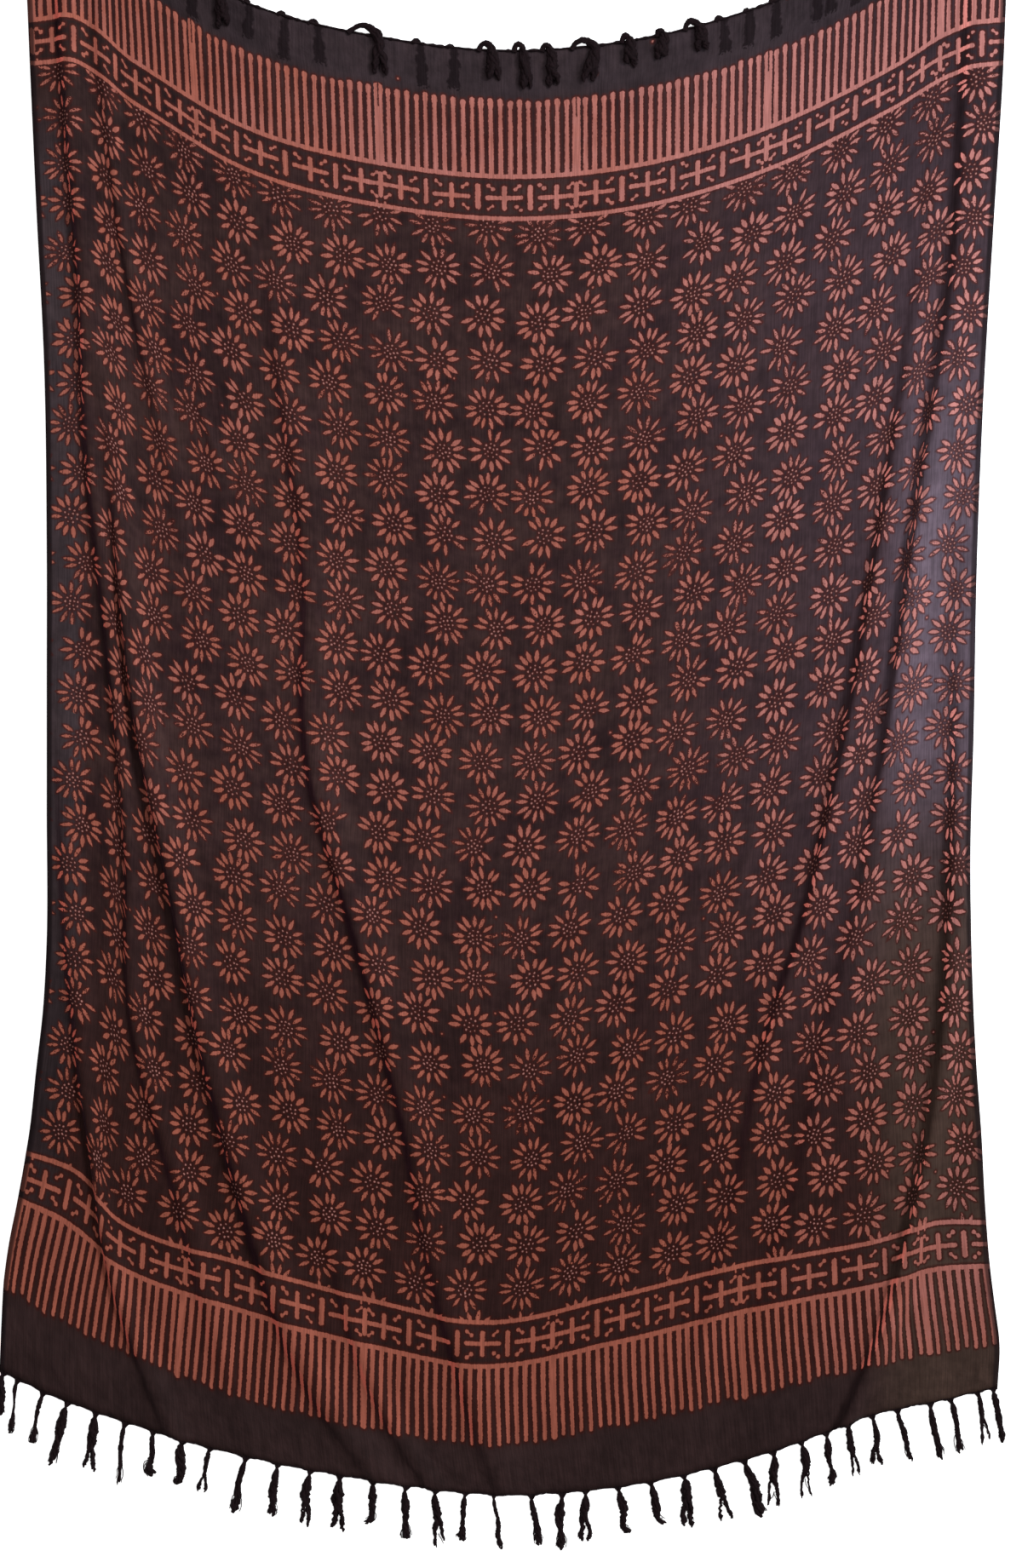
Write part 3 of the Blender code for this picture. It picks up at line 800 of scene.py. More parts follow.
def vector(x, y, z=0.0):
    node = x.tree.nodes.new("ShaderNodeCombineXYZ")
    for slot, term in zip(node.inputs, (x, y, z)):
        feed(x.tree, slot, term)
    return node.outputs[0]


def channels(tree, socket):
    node = tree.nodes.new("ShaderNodeSeparateXYZ")
    tree.links.new(socket, node.inputs[0])
    return [Value(tree, output) for output in node.outputs]


def noise(x, y, size, detail=2.0, shift=0.0, single=False):
    """Three soft random numbers, each about -0.5 to 0.5, that change over a distance of size; or only
    the first of them, which takes a third of the time."""
    tree = x.tree
    node = tree.nodes.new("ShaderNodeTexNoise")
    node.noise_dimensions = "2D"
    set_inputs(node, Scale=1.0 / size, Detail=detail)
    tree.links.new(vector(x + shift * 97.0, y), node.inputs["Vector"])
    if single:
        return (Value(tree, node.outputs["Fac"]) - 0.5) * 1.6
    return [(value - 0.5) * 1.6 for value in channels(tree, node.outputs["Color"])]


def chance(x, y):
    """Three random numbers from 0 to 1 that stay the same while x and y do."""
    tree = x.tree
    node = tree.nodes.new("ShaderNodeTexWhiteNoise")
    node.noise_dimensions = "2D"
    tree.links.new(vector(x, y), node.inputs["Vector"])
    return channels(tree, node.outputs["Color"])


def scattered(x, y, randomness=1.0):
    """Cells around points scattered one to a unit square."""
    node = x.tree.nodes.new("ShaderNodeTexVoronoi")
    node.voronoi_dimensions = "2D"
    set_inputs(node, Scale=1.0, Randomness=randomness)
    x.tree.links.new(vector(x, y), node.inputs["Vector"])
    return node.outputs


def blend(tree, share, first, second):
    """Mix a share of the second colour into the first; each is a socket or a plain colour."""
    node = tree.nodes.new("ShaderNodeMix")
    node.data_type = "RGBA"
    for slot, term in zip((node.inputs[0], *node.inputs[6:8]), (share, first, second)):
        feed(tree, slot, term)
    return node.outputs[2]


def shade_by(tree, colour, amount):
    """Darken or lighten a colour by a number that changes over the surface."""
    node = tree.nodes.new("ShaderNodeVectorMath")
    node.operation = "SCALE"
    tree.links.new(colour, node.inputs[0])
    feed(tree, node.inputs["Scale"], amount)
    return node.outputs[0]


LIT = 1.3                   # the light on the middle of the cloth, as a share of plain white light


def dye(red, green, blue):
    """A colour given as it looks under that light, 0 to 255, as the shader wants it."""
    def linear(value):
        value /= 255.0
        return (value / 12.92 if value <= 0.04045 else ((value + 0.055) / 1.055) ** 2.4) / LIT
    return linear(red), linear(green), linear(blue), 1.0


# ---- the print's shapes: each is a distance in millimetres, less than nought inside it ----
def stroke(sideways, lengthwise, half_length, radius):
    """A straight stroke of the wax pen with round ends."""
    beyond = (lengthwise.abs() - half_length).most(0.0)
    return length_of(sideways, beyond) - radius


def border_line(hem, name, rough):
    """One of the plain lines of a border."""
    return (hem - BORDER[name]).abs() - LINE_HALF[name] + rough * 0.5


def comb(across, hem, upper, rough):
    """The comb of stripes: they hang from a line, taper and stop short of the hem."""
    pitch = STAMP_WIDTH / STRIPES_A_STAMP
    place = (across - STAMP_START) / pitch
    number = (place + 0.5).floor()
    first, second, third = chance(number, upper * 7.0)
    joint = number.remainder(STRIPES_A_STAMP).below(0.5)
    down = (BORDER["comb line"] - hem) / (BORDER["comb line"] - BORDER["comb end"])
    lean = (second - 0.5) * 1.5 * down
    sideways = (place - number) * pitch + (first - 0.5) * 0.9 + lean + rough * 0.45
    ball = hem.ease(*(BORDER["comb end"] + height for height in BALL_STRETCH)) * upper * 0.95
    radius = (third - 0.5) * 0.5 + STRIPE_HALF - down * STRIPE_TAPER + ball + joint * (upper * 0.8 + 1.5)
    stop = (first * -4.0) + (BORDER["comb end"] + 2.0) + radius - joint * 2.5
    free_end = (stop - hem).most(0.0)
    stripe = length_of(sideways, free_end) - radius
    slit_half, slit_end = SLIT
    slit = (slit_half - sideways.abs()).least(slit_end - hem).least((joint * upper) * 9.0 - 4.0)
    return stripe.most(slit).most(hem - (BORDER["comb line"] + 1.0))


def crosses(across, hem, upper, rough):
    """The narrow band: crosses and short bars in turn, with small wax dumb-bells between."""
    stamp = (across - STAMP_START) / STAMP_WIDTH
    block = stamp.floor()
    place = (stamp - block) * STAMP_WIDTH - FIRST_CROSS
    number = (place / CROSS_PITCH + 0.5).floor().most(0.0).least(CROSSES_A_STAMP - 1.0)
    x = place - number * CROSS_PITCH
    from_joint = (place + FIRST_CROSS).least(STAMP_WIDTH - FIRST_CROSS - place)
    y = hem - BAND_MIDDLE
    which = number + block * CROSSES_A_STAMP
    first, second, third = chance(which, upper * 5.0 + 3.0)
    x = x + (first - 0.5) * 1.4
    y_cross = y + (second - 0.5) * 2.0
    upright = stroke(x + rough * 0.5, y_cross, *CROSS_UPRIGHT)
    arm = stroke(y_cross + (third - 0.5) * 0.06 * x, x, *CROSS_ARM)
    bar = stroke((CROSS_PITCH / 2 - x.abs()).least(from_joint), y + (first - 0.5) * 1.6, *SHORT_BAR)

    side = x.above(0.0) * 2.0 + y.above(0.0)
    one, two, three = chance(which * 4.0 + side, upper * 11.0 + 1.0)
    from_middle = x.abs() - BELL_PLACE[0] - one * 1.6
    from_arm = y.abs() - BELL_PLACE[1] - two * 1.4
    cosine, sine = BELL_SLANT
    lengthwise = (from_middle * cosine + from_arm * sine).abs()
    sideways = from_arm * cosine - from_middle * sine
    lobe = length_of(sideways, lengthwise - BELL_LOBE[0]) - (three * 0.7 + BELL_LOBE[1])
    waist = sideways.abs().most(lengthwise - BELL_WAIST[0]) - (BELL_WAIST[1] - one.above(0.78) * 2.5)
    bell = lobe.least(waist) + three.above(0.96) * 5.0
    return upright.least(arm).least(bar).least(bell) + rough * (upper * 0.8 + 0.3)


def ticks(across, hem):
    """Two short marks across the inner line wherever one block of the print met the next."""
    place = (across - STAMP_START) / STAMP_WIDTH
    x = (place - (place + 0.5).floor()) * STAMP_WIDTH
    from_line = hem - BORDER["inner line"]
    return stroke(x.abs() - TICK_PLACE, from_line - x * 0.12, *TICK)


def ring_of(count, turn, angle, radius, middle, seed):
    """Places round a flower: how far along the ring and out from it the nearest one is."""
    place = angle * (1.0 / math.tau) * count + turn
    number = place.floor()
    draws = chance(number.remainder(count) + seed * 913.0, seed * 577.0 + 1.0)
    astray, deep, _ = draws
    sideways = (place - number - 0.5 + (astray - 0.5) * RING_STRAY) * (math.tau / count) * radius
    outward = radius - middle - (deep - 0.5) * RING_STRAY * 3.6
    return sideways, outward, draws


def flowers(across, along, rough, fine, wear):
    """The field of flowers. Returns the petals, the dots, and how far the flower's middle is."""
    def sway_at(rows):
        return (rows * math.pi).cosine() * FLOWER_SWAY

    def zigzag_at(columns):
        return (columns * math.pi).sine() * FLOWER_ZIGZAG

    pitch_across, pitch_along = FLOWER_PITCH
    start_across, start_along = FLOWER_START
    rows = (along - start_along) / pitch_along
    x = (across - start_across) / pitch_across + sway_at(rows)
    cells = scattered(x, rows + zigzag_at(x), FLOWER_STRAY)
    middle_x, middle_y, _ = channels(across.tree, cells["Position"])
    own = channels(across.tree, cells["Color"])
    middle_rows = middle_y - zigzag_at(middle_x)
    dx = across - ((middle_x - sway_at(middle_rows)) * pitch_across + start_across)
    dy = along - (middle_rows * pitch_along + start_along)
    radius = length_of(dx, dy)
    angle = dy.angle_from(dx)

    count = (own[0] * 2.0).floor() + LEAST_PETALS
    sideways, outward, draws = ring_of(count, own[1], angle, radius, PETAL_START, own[0] + 0.13)
    astray, plump, long = draws
    share = outward / (long * 2.8 + PETAL_LENGTH)
    slant = (astray - 0.5) * 2.2 * share
    body = (share * (1.0 - share) * 4.0).most(0.0)
    worn = own[2] * 0.55 + wear
    half_width = (body.power(0.85) * (plump * 0.5 + PETAL_HALF) * (1.12 - share * 0.24)
                  * worn.ease(0.2, 1.0, 1.06, 0.72))
    past = ((share - 0.5).abs() - 0.5).most(0.0) * 12.0
    petals = (sideways + slant).abs() - half_width + past + fine * 0.55 + rough * 0.3
    nick = (fine.abs() + rough.abs()) * 4.5 - 3.7 + worn * 1.9
    petals = petals.most(nick) + long.above(0.98) * 9.0

    inner = radius.below(DOT_RINGS_PART)
    dot_count = (own[2] * 2.0).floor() + 8.0 - inner * 5.0
    middle = OUTER_DOTS - inner * (OUTER_DOTS - INNER_DOTS)
    seed = own[2] + 0.41 + inner * 0.37
    around, out, (_, _, large) = ring_of(dot_count, own[0], angle, radius, middle, seed)
    dots = length_of(around, out) - (large * 0.35 + 0.75)
    return petals, dots + fine * 0.2, radius


def stray_dots(across, along):
    """Small drops of wax that fell here and there."""
    cells = scattered(across / STRAY_APART, along / STRAY_APART)
    pick, _, _ = channels(across.tree, cells["Color"])
    middle = Value(across.tree, cells["Distance"]) * STRAY_APART
    return middle - 1.1 + pick.below(1.0 - STRAY_SHARE) * 50.0


def tassels_beneath(across, along):
    """How far a place is from the tassels under the cloth, less than nought over one of them."""
    back = CLOTH_LENGTH - along
    spots = []
    for at_across, lean, reach, (wide, _), side in UPPER_TASSELS:
        if side == UNDER:
            sideways = (across - (at_across + wide) - back * (lean / reach)).abs()
            half_width = back * (3.4 / reach) + 3.6
            spots.append((sideways - half_width).most(back - reach))
    return reduce(Value.least, spots)


# ---- shared effects ----
def by_name(tree, sockets):
    """Named sockets, the plain numbers among them ready for sums."""
    return {socket.name: Value(tree, socket) if socket.type == "VALUE" else socket for socket in sockets}


def new_group(name, **kinds):
    """An empty node group with named inputs, each of a kind, and those inputs as they come in."""
    group = bpy.data.node_groups.new(name, "ShaderNodeTree")
    for title, kind in kinds.items():
        group.interface.new_socket(title, in_out="INPUT", socket_type="NodeSocket" + kind)
    sockets = group.nodes.new("NodeGroupInput").outputs[:-1]      # the last one is spare
    return group, by_name(group, sockets)


def put_out(group, results):
    """Let a group put out each result, a number or a colour, under its name."""
    for title, result in results.items():
        kind = "Float" if isinstance(result, Value) else "Color"
        group.interface.new_socket(title, in_out="OUTPUT", socket_type="NodeSocket" + kind)
    out = group.nodes.new("NodeGroupOutput")
    for title, result in results.items():
        feed(group, out.inputs[title], result)


def place_group(tree, group, **terms):
    """Place a group in a material with its own values. Returns what it puts out, by name."""
    node = tree.nodes.new("ShaderNodeGroup")
    node.node_tree = group
    for title, term in terms.items():
        feed(tree, node.inputs[title], term)
    return by_name(tree, node.outputs)


def grain_group():
    """Fine thread grain: a shade from dark to light and a height, for whatever coordinates it is fed."""
    group, given = new_group("thread_grain", Vector="Vector", Size="Float", Stretch="Float")
    x, y, z = channels(group, given["Vector"])
    scale = 1.0 / given["Size"]
    lengthwise = y * scale / given["Stretch"]
    grain = group.nodes.new("ShaderNodeTexNoise")
    set_inputs(grain, Scale=1.0, Detail=3.0)
    group.links.new(vector(x * scale, lengthwise, z * scale), grain.inputs["Vector"])
    height = Value(group, grain.outputs[0])
    put_out(group, {"Shade": height.ease(0.25, 0.75), "Height": height})
    return group


def add_bump(tree, shader, height, distance):
    bump = tree.nodes.new("ShaderNodeBump")
    set_inputs(bump, Strength=0.6, Distance=distance)
    feed(tree, bump.inputs["Height"], height)
    tree.links.new(bump.outputs[0], shader.inputs["Normal"])


# ---- the finishes ----
GROUND_DARK = dye(45, 28, 30)
GROUND_WARM = dye(63, 43, 41)
# painted shade: the ground darker and warmer towards the lower hem, where less light falls
GROUND_PAINTED_SHADE_LOW = dye(46, 25, 23)
# painted cool light on the ground towards the upper right
GROUND_PAINTED_COOL_LIGHT = dye(66, 50, 56)
GROUND_OLIVE = dye(76, 58, 50)
# painted light near the right selvedge: light through the sheer cloth, and its sheen
PAINTED_LIGHT_RIGHT = dye(112, 95, 106)
# painted light near the left selvedge, where the cloth is sheer: this colour higher up, the next towards
# the lower hem
PAINTED_LIGHT_LEFT = dye(66, 56, 60)
PAINTED_LIGHT_LOW_LEFT = dye(42, 36, 39)
HEADER_DARK = dye(48, 34, 34)
HEADER_GREY = dye(55, 45, 49)
SHADOW = dye(22, 13, 16)
HALO = dye(70, 29, 25)
# painted shade: the halo darker and warmer towards the lower hem
HALO_PAINTED_SHADE_LOW = dye(58, 20, 15)
PRINT_ORANGE = dye(163, 91, 74)
PRINT_PINK = dye(178, 114, 107)
# painted shade on the folds' left flanks, which face away from the sun
FOLD_PAINTED_SHADE = dye(46, 20, 31)
# painted light on the print on the folds' left flanks, as where light shines through the thin cloth
PRINT_PAINTED_FOLD_LIGHT = dye(214, 96, 86)
DOT_PINK = dye(180, 126, 118)
SELVEDGE_DARK = dye(26, 18, 20)
YARN_DARK = dye(16, 9, 11)
YARN_LIGHT = dye(34, 21, 24)

# Where the colour changes over the cloth: the zones by the two selvedges hold painted light, the others
# make it lighter, darker or of another tint. A zone is the product of its eases across the cloth and along
# it, each from nought at its first place to full at its second.
ZONES = {
    # painted light by the right selvedge
    "painted light right": (((1035.0, 1105.0),), ((510.0, 790.0), (1250.0, 970.0))),
    # painted light by the left selvedge
    "painted light left": (((52.0, 32.0),), ((1450.0, 1340.0), (60.0, 260.0))),
    "olive": (((1000.0, 1090.0),), ((760.0, 450.0),)),
    "pale": (((100.0, 220.0), (460.0, 300.0)), ((560.0, 720.0), (1080.0, 940.0))),
    "upper left": (((400.0, 120.0),), ((1230.0, 1500.0),)),
    "upper right": (((820.0, 1050.0),), ((1230.0, 1500.0),)),
    "right edge": (((1108.0, 1148.0),), ()),
    "pink print": (((150.0, 600.0),), ((1150.0, 1500.0),)),
}
# the folds' left flanks face away from the sun and take the painted shade and painted light
STEEP = (0.15, 0.8)         # slopes from which a fold's left side starts to show, and shows fully
HALO_REACH = (3.8, 0.3)     # the reddish edge round the wax starts, and is full, this far from it
SELVEDGE_BAND = (8.0, 4.6)  # the selvedge starts to darken, and is dark, this far from the edge
HIGH = (250.0, 800.0)       # the lower end's colours give way to those above, along the cloth
TO_RIGHT = (780.0, 1270.0)  # the left side's colours give way to the right's, across the cloth,
RIGHT_SLANT = 0.12          # this much further left for each millimetre along
HEADER_FADE = (72.0, 44.0)  # the plain end's ground starts, and is full, this far from the hem
CRUMPLED_END = (66.0, 30.0)     # the cloth starts to crumple, and is fully crumpled, this far from it
WORN_BAND = (260.0, 205.0)  # flowers start to be worn, and are most worn, this far from the upper hem
FLOWER_SHADE = (12.5, 8.5)  # the ground starts to darken, and is darkest, this far from a flower's middle
PRINT_EDGE = (0.4, -0.4)    # distances between which a mark of wax fades in
DOT_EDGE = (0.35, -0.35)
CLOTH_GRAIN = {"Size": 1.5, "Stretch": 30.0}    # streaks of thread along the cloth
YARN_GRAIN = {"Size": 0.9 * MM, "Stretch": 5.0}
WEAVE_PITCH = 0.8

# Soft chance of hand work: the distance over which each kind changes.
ROUGH_SIZE = 9.0
FINE_SIZE = 2.6
PATCH_SIZE = 15.0
CLOUD_SIZE = 90.0
RIPPLE_SIZE = 16.0
CRUMPLE_SIZE = 10.0
WANDER = 0.9                # how far it moves the print about, at most about half of this


class Spot:
    """A place on the cloth, as its looks are worked out from it: where it lies in the cut, how steep
    the cloth is there, and the soft chance of hand work."""

    def __init__(self, tree, across, along, climb):
        self.tree = tree
        self.across = across
        self.along = along
        self.flank = climb.ease(*STEEP)
        self.rough = noise(across, along, ROUGH_SIZE, detail=2.0, single=True)
        self.fine, fine_x, fine_y = noise(across, along, FINE_SIZE, detail=1.0, shift=3.0)
        self.cloud = noise(across, along, CLOUD_SIZE, detail=2.0, shift=1.0)
        self.patch = noise(across, along, PATCH_SIZE, detail=3.0, shift=2.0)
        self.print_across = across + fine_x * WANDER
        self.print_along = along + fine_y * WANDER
        self.upper = self.print_along.above(CLOTH_LENGTH / 2)
        self.hem = self.print_along.least((CLOTH_LENGTH - self.print_along) * UPPER_BORDER_STRETCH)
        self.high = along.ease(*HIGH)
        self.to_right = (across + along * RIGHT_SLANT).ease(*TO_RIGHT)

    def zone(self, name):
        """How far a place is in one of the zones, from 0 to 1."""
        eases_across, eases_along = ZONES[name]
        strengths = [self.across.ease(*ease) for ease in eases_across]
        strengths += [self.along.ease(*ease) for ease in eases_along]
        return reduce(Value.__mul__, strengths)


def ground_dye_and_painted_light(spot):
    """The ground: brown dye in soft clouds, with painted cool light to the upper right, painted light where
    the cloth is sheer near the selvedges, and painted shade on the folds' left flanks and towards the lower
    hem.
    """
    tree, high, to_right = spot.tree, spot.high, spot.to_right
    warmth = (spot.cloud[0] * 0.7 + spot.patch[0] * 0.55 + 0.5).ease(0.0, 1.0)
    ground = blend(tree, warmth, GROUND_DARK, GROUND_WARM)
    for share, colour in (
        # painted shade, darker and warmer towards the lower hem
        (0.85 - high * 0.85, GROUND_PAINTED_SHADE_LOW),
        # painted cool light, towards the upper right
        (to_right * high * 0.9, GROUND_PAINTED_COOL_LIGHT),
        # painted light near the right selvedge
        (spot.zone("painted light right") * 0.62, PAINTED_LIGHT_RIGHT),
        # painted light near the left selvedge, dimmer towards the lower hem
        (spot.zone("painted light left") * 0.7, blend(tree, high, PAINTED_LIGHT_LOW_LEFT, PAINTED_LIGHT_LEFT)),
        # painted shade on the folds' left flanks, less of it to the right
        (spot.flank * (0.75 - to_right * 0.7), FOLD_PAINTED_SHADE),
        (spot.hem.ease(*HEADER_FADE) * 0.8, blend(tree, spot.upper, HEADER_DARK, HEADER_GREY)),
        (spot.zone("olive") * 0.75, GROUND_OLIVE),
    ):
        ground = blend(tree, share, ground, colour)
    for shade in (
        (spot.patch[1] * 0.5 + spot.cloud[2] * 0.4).ease(-0.4, 0.4, 0.72, 1.20),
        spot.zone("pale") * 0.12 + 1.0,
        1.0 - (spot.zone("upper left") + spot.zone("upper right")) * 0.27,
        1.0 - spot.zone("right edge") * 0.17,
    ):
        ground = shade_by(tree, ground, shade)
    return ground


def wax_colour_and_painted_light(spot):
    """What the wax kept from the dye: terracotta, pinker to the upper right; with painted light, deep red
    and brighter on the folds' left flanks, and painted shade towards the lower hem.
    """
    tree, patch = spot.tree, spot.patch
    # pinker to the right and upwards: partly the print's own tint, and to the right partly painted cool
    # light
    pinkness = (patch[0] * 0.3 + spot.cloud[1] * 0.4 + spot.to_right * 0.8 + spot.zone("pink print") * 0.3
                + spot.high * 0.4 - 0.05)
    wax = blend(tree, pinkness.ease(0.0, 1.2), PRINT_ORANGE, PRINT_PINK)
    wax = shade_by(tree, wax, (patch[1] * 0.5 + 0.6).ease(0.1, 0.8, 0.86, 1.02))
    # painted light: the print on the folds' left flanks turns deep red, as where light shines through the
    # thin cloth
    wax = blend(tree, spot.flank * (0.6 - spot.to_right * 0.4), wax, PRINT_PAINTED_FOLD_LIGHT)
    # painted shade and light: darker towards the lower hem, brighter on the folds' left flanks, most to the
    # right; a little lighter in the borders
    light = (spot.along.ease(60.0, 800.0, 0.84, 0.97) + spot.hem.ease(205.0, 190.0, 0.0, 0.05)
             + spot.flank * (spot.to_right * 1.2 + 0.6))
    return shade_by(tree, wax, light)


def weave_height(spot):
    """The weave of the cloth, with soft ripples in it, and crumpled at the ends."""
    across, along = spot.across, spot.along
    weave = (across * (math.tau / WEAVE_PITCH)).sine() * (along * (math.tau / WEAVE_PITCH)).cosine()
    ripple = noise(across, along * 0.45, RIPPLE_SIZE, detail=2.0, shift=5.0, single=True)
    crumple = noise(across, along, CRUMPLE_SIZE, detail=2.0, shift=6.0, single=True)
    return weave * 0.05 + ripple * 0.6 + crumple * spot.hem.ease(*CRUMPLED_END) * 1.3


def batik_group():
    """What every stretch of the cloth shares, for any place on it: the colours that the dye and the wax
    left, with the painted light and shade over them, the firm selvedge, the weave, and where and how
    roughly the print lies."""
    group, given = new_group("batik_cloth", Across="Float", Along="Float", Climb="Float")
    spot = Spot(group, *given.values())
    put_out(group, {
        "Ground": ground_dye_and_painted_light(spot),
        "Wax": wax_colour_and_painted_light(spot),
        # the halo with painted shade, darker and warmer towards the lower hem
        "Halo": blend(group, spot.high, HALO_PAINTED_SHADE_LOW, HALO),
        "Selvedge": spot.across.least(CLOTH_WIDTH - spot.across).ease(*SELVEDGE_BAND) * 0.8,
        "Height": weave_height(spot),
        "Print Across": spot.print_across,
        "Print Along": spot.print_along,
        "Hem": spot.hem,
        "Upper": spot.upper,
        "Rough": spot.rough,
        "Fine": spot.fine,
        "Cloud": spot.cloud[2],
        "Drops": stray_dots(spot.print_across, spot.print_along),
    })
    return group


# Each part of the print is worked out from the group's results at a place. It returns the ground, the
# wax marks and the dots.
def field_print(tree, at):
    """The flowers between the two borders, on a ground that is darker under each."""
    hem, rough = at["Hem"], at["Rough"]
    wear = (at["Cloud"] + 0.28) + (at["Upper"] * hem.ease(*WORN_BAND)) * 0.5
    petals, dots, from_middle = flowers(at["Print Across"], at["Print Along"], rough, at["Fine"], wear)
    outside = (BORDER["inner line"] + 0.5 - hem).most(6.0 - at["Across"])
    marks = petals.least(at["Drops"]).most(outside).least(border_line(hem, "inner line", rough))
    heart = from_middle.ease(*FLOWER_SHADE) * outside.below(0.0)
    return shade_by(tree, at["Ground"], 1.0 - heart * 0.16), marks, dots.most(outside)


def border_print(tree, at):
    """A border: the comb, the two lines, and the band of crosses between them."""
    across, hem, upper, rough = (at[name] for name in ("Print Across", "Hem", "Upper", "Rough"))
    marks = comb(across, hem, upper, rough).least(border_line(hem, "comb line", rough))
    marks = marks.least(border_line(hem, "inner line", rough)).least(ticks(across, hem))
    outside_band = (hem - BAND_MIDDLE).abs() - (BORDER["inner line"] - BAND_MIDDLE) + 1.2
    return at["Ground"], marks.least(crosses(across, hem, upper, rough).most(outside_band)), None


def header_print(tree, at):
    """The plain upper end, darker over the tassels beneath it, with only stray drops of wax."""
    beneath = tassels_beneath(at["Print Across"] + at["Rough"] * 5.0, at["Along"] + at["Fine"] * 8.0)
    return blend(tree, beneath.ease(2.0, -1.2) * 0.85, at["Ground"], SHADOW), at["Drops"], None


PRINTS = {BORDER_PRINT: border_print, FIELD_PRINT: field_print, HEADER_PRINT: header_print}


def new_material(name):
    material = bpy.data.materials.new(name)
    material.use_nodes = True
    tree = material.node_tree
    return material, tree, tree.nodes["Principled BSDF"]


def place_on_cut(tree):
    """A place by its cut sizes, in millimetres, and how steeply the cloth climbs there."""
    cut = tree.nodes.new("ShaderNodeUVMap")
    cut.uv_map = "cut"
    across, along, _ = channels(tree, cut.outputs[0])
    climb = tree.nodes.new("ShaderNodeAttribute")
    climb.attribute_name = "climb"
    return {"Across": across * (1 / MM), "Along": along * (1 / MM),
            "Climb": Value(tree, climb.outputs["Fac"])}


def cloth_material(stretch, batik, grain):
    """The finish of one stretch of the cloth: its part of the print over the same dyed ground, with its
    painted light and shade.
    """
    material, tree, shader = new_material("batik_" + stretch)
    place = place_on_cut(tree)
    at = place | place_group(tree, batik, **place)
    ground, marks, dots = PRINTS[stretch](tree, at)
    shapes = marks.least(dots) if dots else marks
    ground = blend(tree, shapes.ease(*HALO_REACH) * 0.85, ground, at["Halo"])
    surface = blend(tree, marks.ease(*PRINT_EDGE), ground, at["Wax"])
    if dots:
        surface = blend(tree, dots.ease(*DOT_EDGE) * 0.8, surface, DOT_PINK)
    surface = blend(tree, at["Selvedge"], surface, SELVEDGE_DARK)
    streak = place_group(tree, grain, Vector=vector(at["Across"], at["Along"]), **CLOTH_GRAIN)
    surface = shade_by(tree, surface, streak["Shade"].ease(0.0, 1.0, 0.80, 1.16))
    tree.links.new(surface, shader.inputs["Base Color"])
    set_inputs(shader, Roughness=0.7, Specular_IOR_Level=0.04, Sheen_Weight=0.02, Sheen_Roughness=0.45)
    add_bump(tree, shader, at["Height"], MM)
    return material


def yarn_material(grain):
    material, tree, shader = new_material("twisted_yarn")
    place = tree.nodes.new("ShaderNodeTexCoord")
    thread = place_group(tree, grain, Vector=place.outputs["Object"], **YARN_GRAIN)
    tree.links.new(blend(tree, thread["Shade"], YARN_DARK, YARN_LIGHT), shader.inputs["Base Color"])
    feed(tree, shader.inputs["Roughness"], thread["Shade"] * 0.1 + 0.78)
    set_inputs(shader, Specular_IOR_Level=0.06)
    add_bump(tree, shader, thread["Height"], 0.4 * MM)
    return material


# ---- floor, light and camera ----
SUN_POWER = 2.31
SUN_FROM = (1.0, 0.45, 1.0)
SUN_ANGLE = 16              # degrees
ROOM_LIGHT = 0.50
FLOOR_HALF = 12.0           # metres
FLOOR_GLOW = 0.80           # the floor's own light, so it is as white as a page
SOFT_BOXES = (              # square lamps; places and sizes in metres
    # name, place, aimed at, size, watts, colour
    ("right soft box", (1.0, 0.3, 0.6), (0.35, 0.25, 0.0), 0.7, 6.5, (0.66, 0.85, 1.0)),
    ("upper soft box", (0.25, 1.55, 1.2), (0.1, 0.5, 0.0), 0.9, 8.0, (0.82, 0.92, 1.0)),
)
MM_A_PIXEL = 0.954
VIEW_PIXELS = (1200, 1841)  # across and along
LENS = 85.0
SENSOR = 36.0


def make_floor():
    bm = bmesh.new()
    bmesh.ops.create_grid(bm, x_segments=1, y_segments=1, size=FLOOR_HALF)
    bmesh.ops.translate(bm, verts=bm.verts, vec=(0.0, 0.0, -0.4 * MM))
    floor = piece("floor", bm)
    material, _, shader = new_material("pale_floor")
    set_inputs(shader, Base_Color=(0.93, 0.93, 0.93, 1.0), Roughness=0.9, Specular_IOR_Level=0.1,
               Emission_Color=(1.0, 1.0, 1.0, 1.0), Emission_Strength=FLOOR_GLOW)
    material.cycles.emission_sampling = "NONE"
    floor.data.materials.append(material)
    return floor


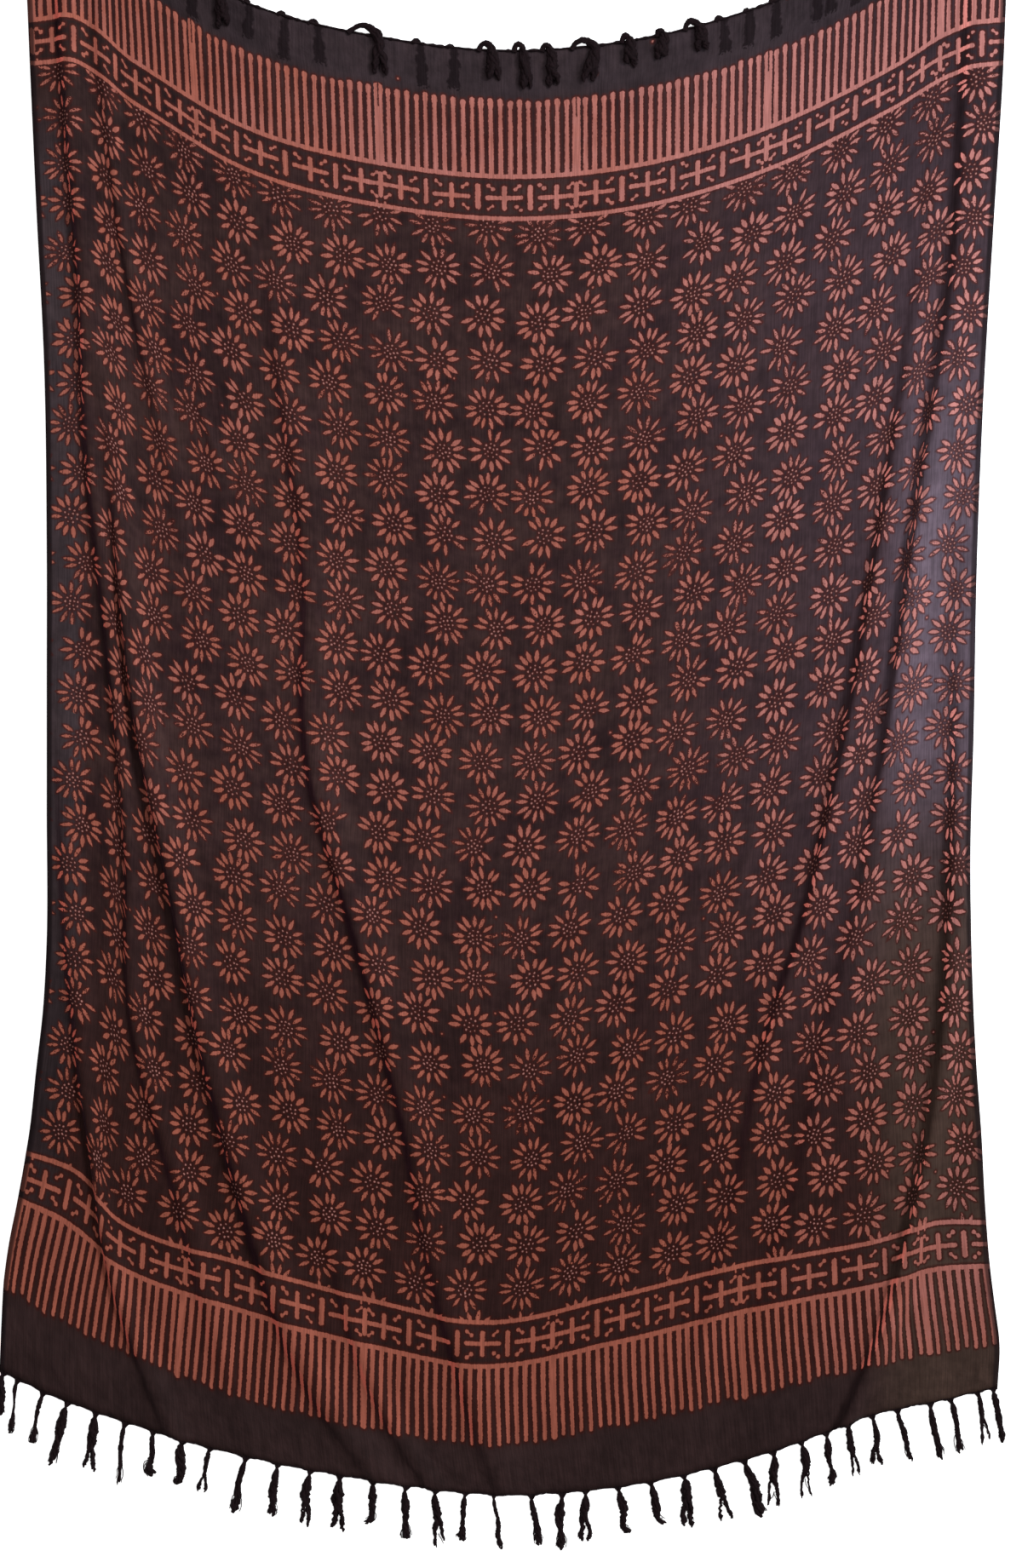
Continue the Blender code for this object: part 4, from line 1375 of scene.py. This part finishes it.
def aim(lamp, place, target):
    """Turn a lamp that stands at a place towards a target, and add it to the scene."""
    lamp.rotation_euler = (Vector(target) - Vector(place)).to_track_quat("-Z", "Y").to_euler()
    bpy.context.scene.collection.objects.link(lamp)


def make_light():
    world = bpy.data.worlds.new("studio")
    world.use_nodes = True
    set_inputs(world.node_tree.nodes["Background"], Color=(1.0, 0.97, 0.95, 1.0), Strength=ROOM_LIGHT)
    bpy.context.scene.world = world
    sun = bpy.data.lights.new("window", "SUN")
    sun.energy = SUN_POWER
    sun.angle = math.radians(SUN_ANGLE)
    aim(bpy.data.objects.new("window", sun), SUN_FROM, (0.0, 0.0, 0.0))
    for name, place, target, size, power, tint in SOFT_BOXES:
        data = bpy.data.lights.new(name, "AREA")
        data.shape = "SQUARE"
        data.size = size
        data.energy = power
        data.color = tint
        lamp = bpy.data.objects.new(name, data)
        lamp.location = place
        lamp.visible_camera = False
        aim(lamp, place, target)


def make_camera():
    """Straight above the cloth, with the view's long side along it."""
    data = bpy.data.cameras.new("camera")
    data.lens = LENS
    data.sensor_width = SENSOR
    data.clip_end = 50.0
    camera = bpy.data.objects.new("camera", data)
    distance = VIEW_PIXELS[1] * MM_A_PIXEL * LENS / SENSOR
    camera.location = (ORIGIN + Vector((0.0, 0.0, distance))) * MM
    bpy.context.scene.collection.objects.link(camera)
    bpy.context.scene.camera = camera


# ---- everything together ----
def main():
    grain = grain_group()
    batik = batik_group()
    finishes = {stretch: cloth_material(stretch, batik, grain) for stretch in PRINTS}
    yarn_finish = yarn_material(grain)
    cloth = make_cloth(finishes)
    lower = make_fringe("lower_tassels", lower_yarns(), yarn_finish)
    upper = make_fringe("upper_tassels", upper_yarns(), yarn_finish)
    floor = make_floor()
    make_light()
    make_camera()
    bpy.context.scene.view_settings.view_transform = "Standard"

    for obj, node, slot in ((cloth, "cloth_panel", "cloth"), (lower, "fringe_lower", "fringe"),
                            (upper, "fringe_upper", "fringe")):
        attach(obj, "root")
        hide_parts(node)


main()
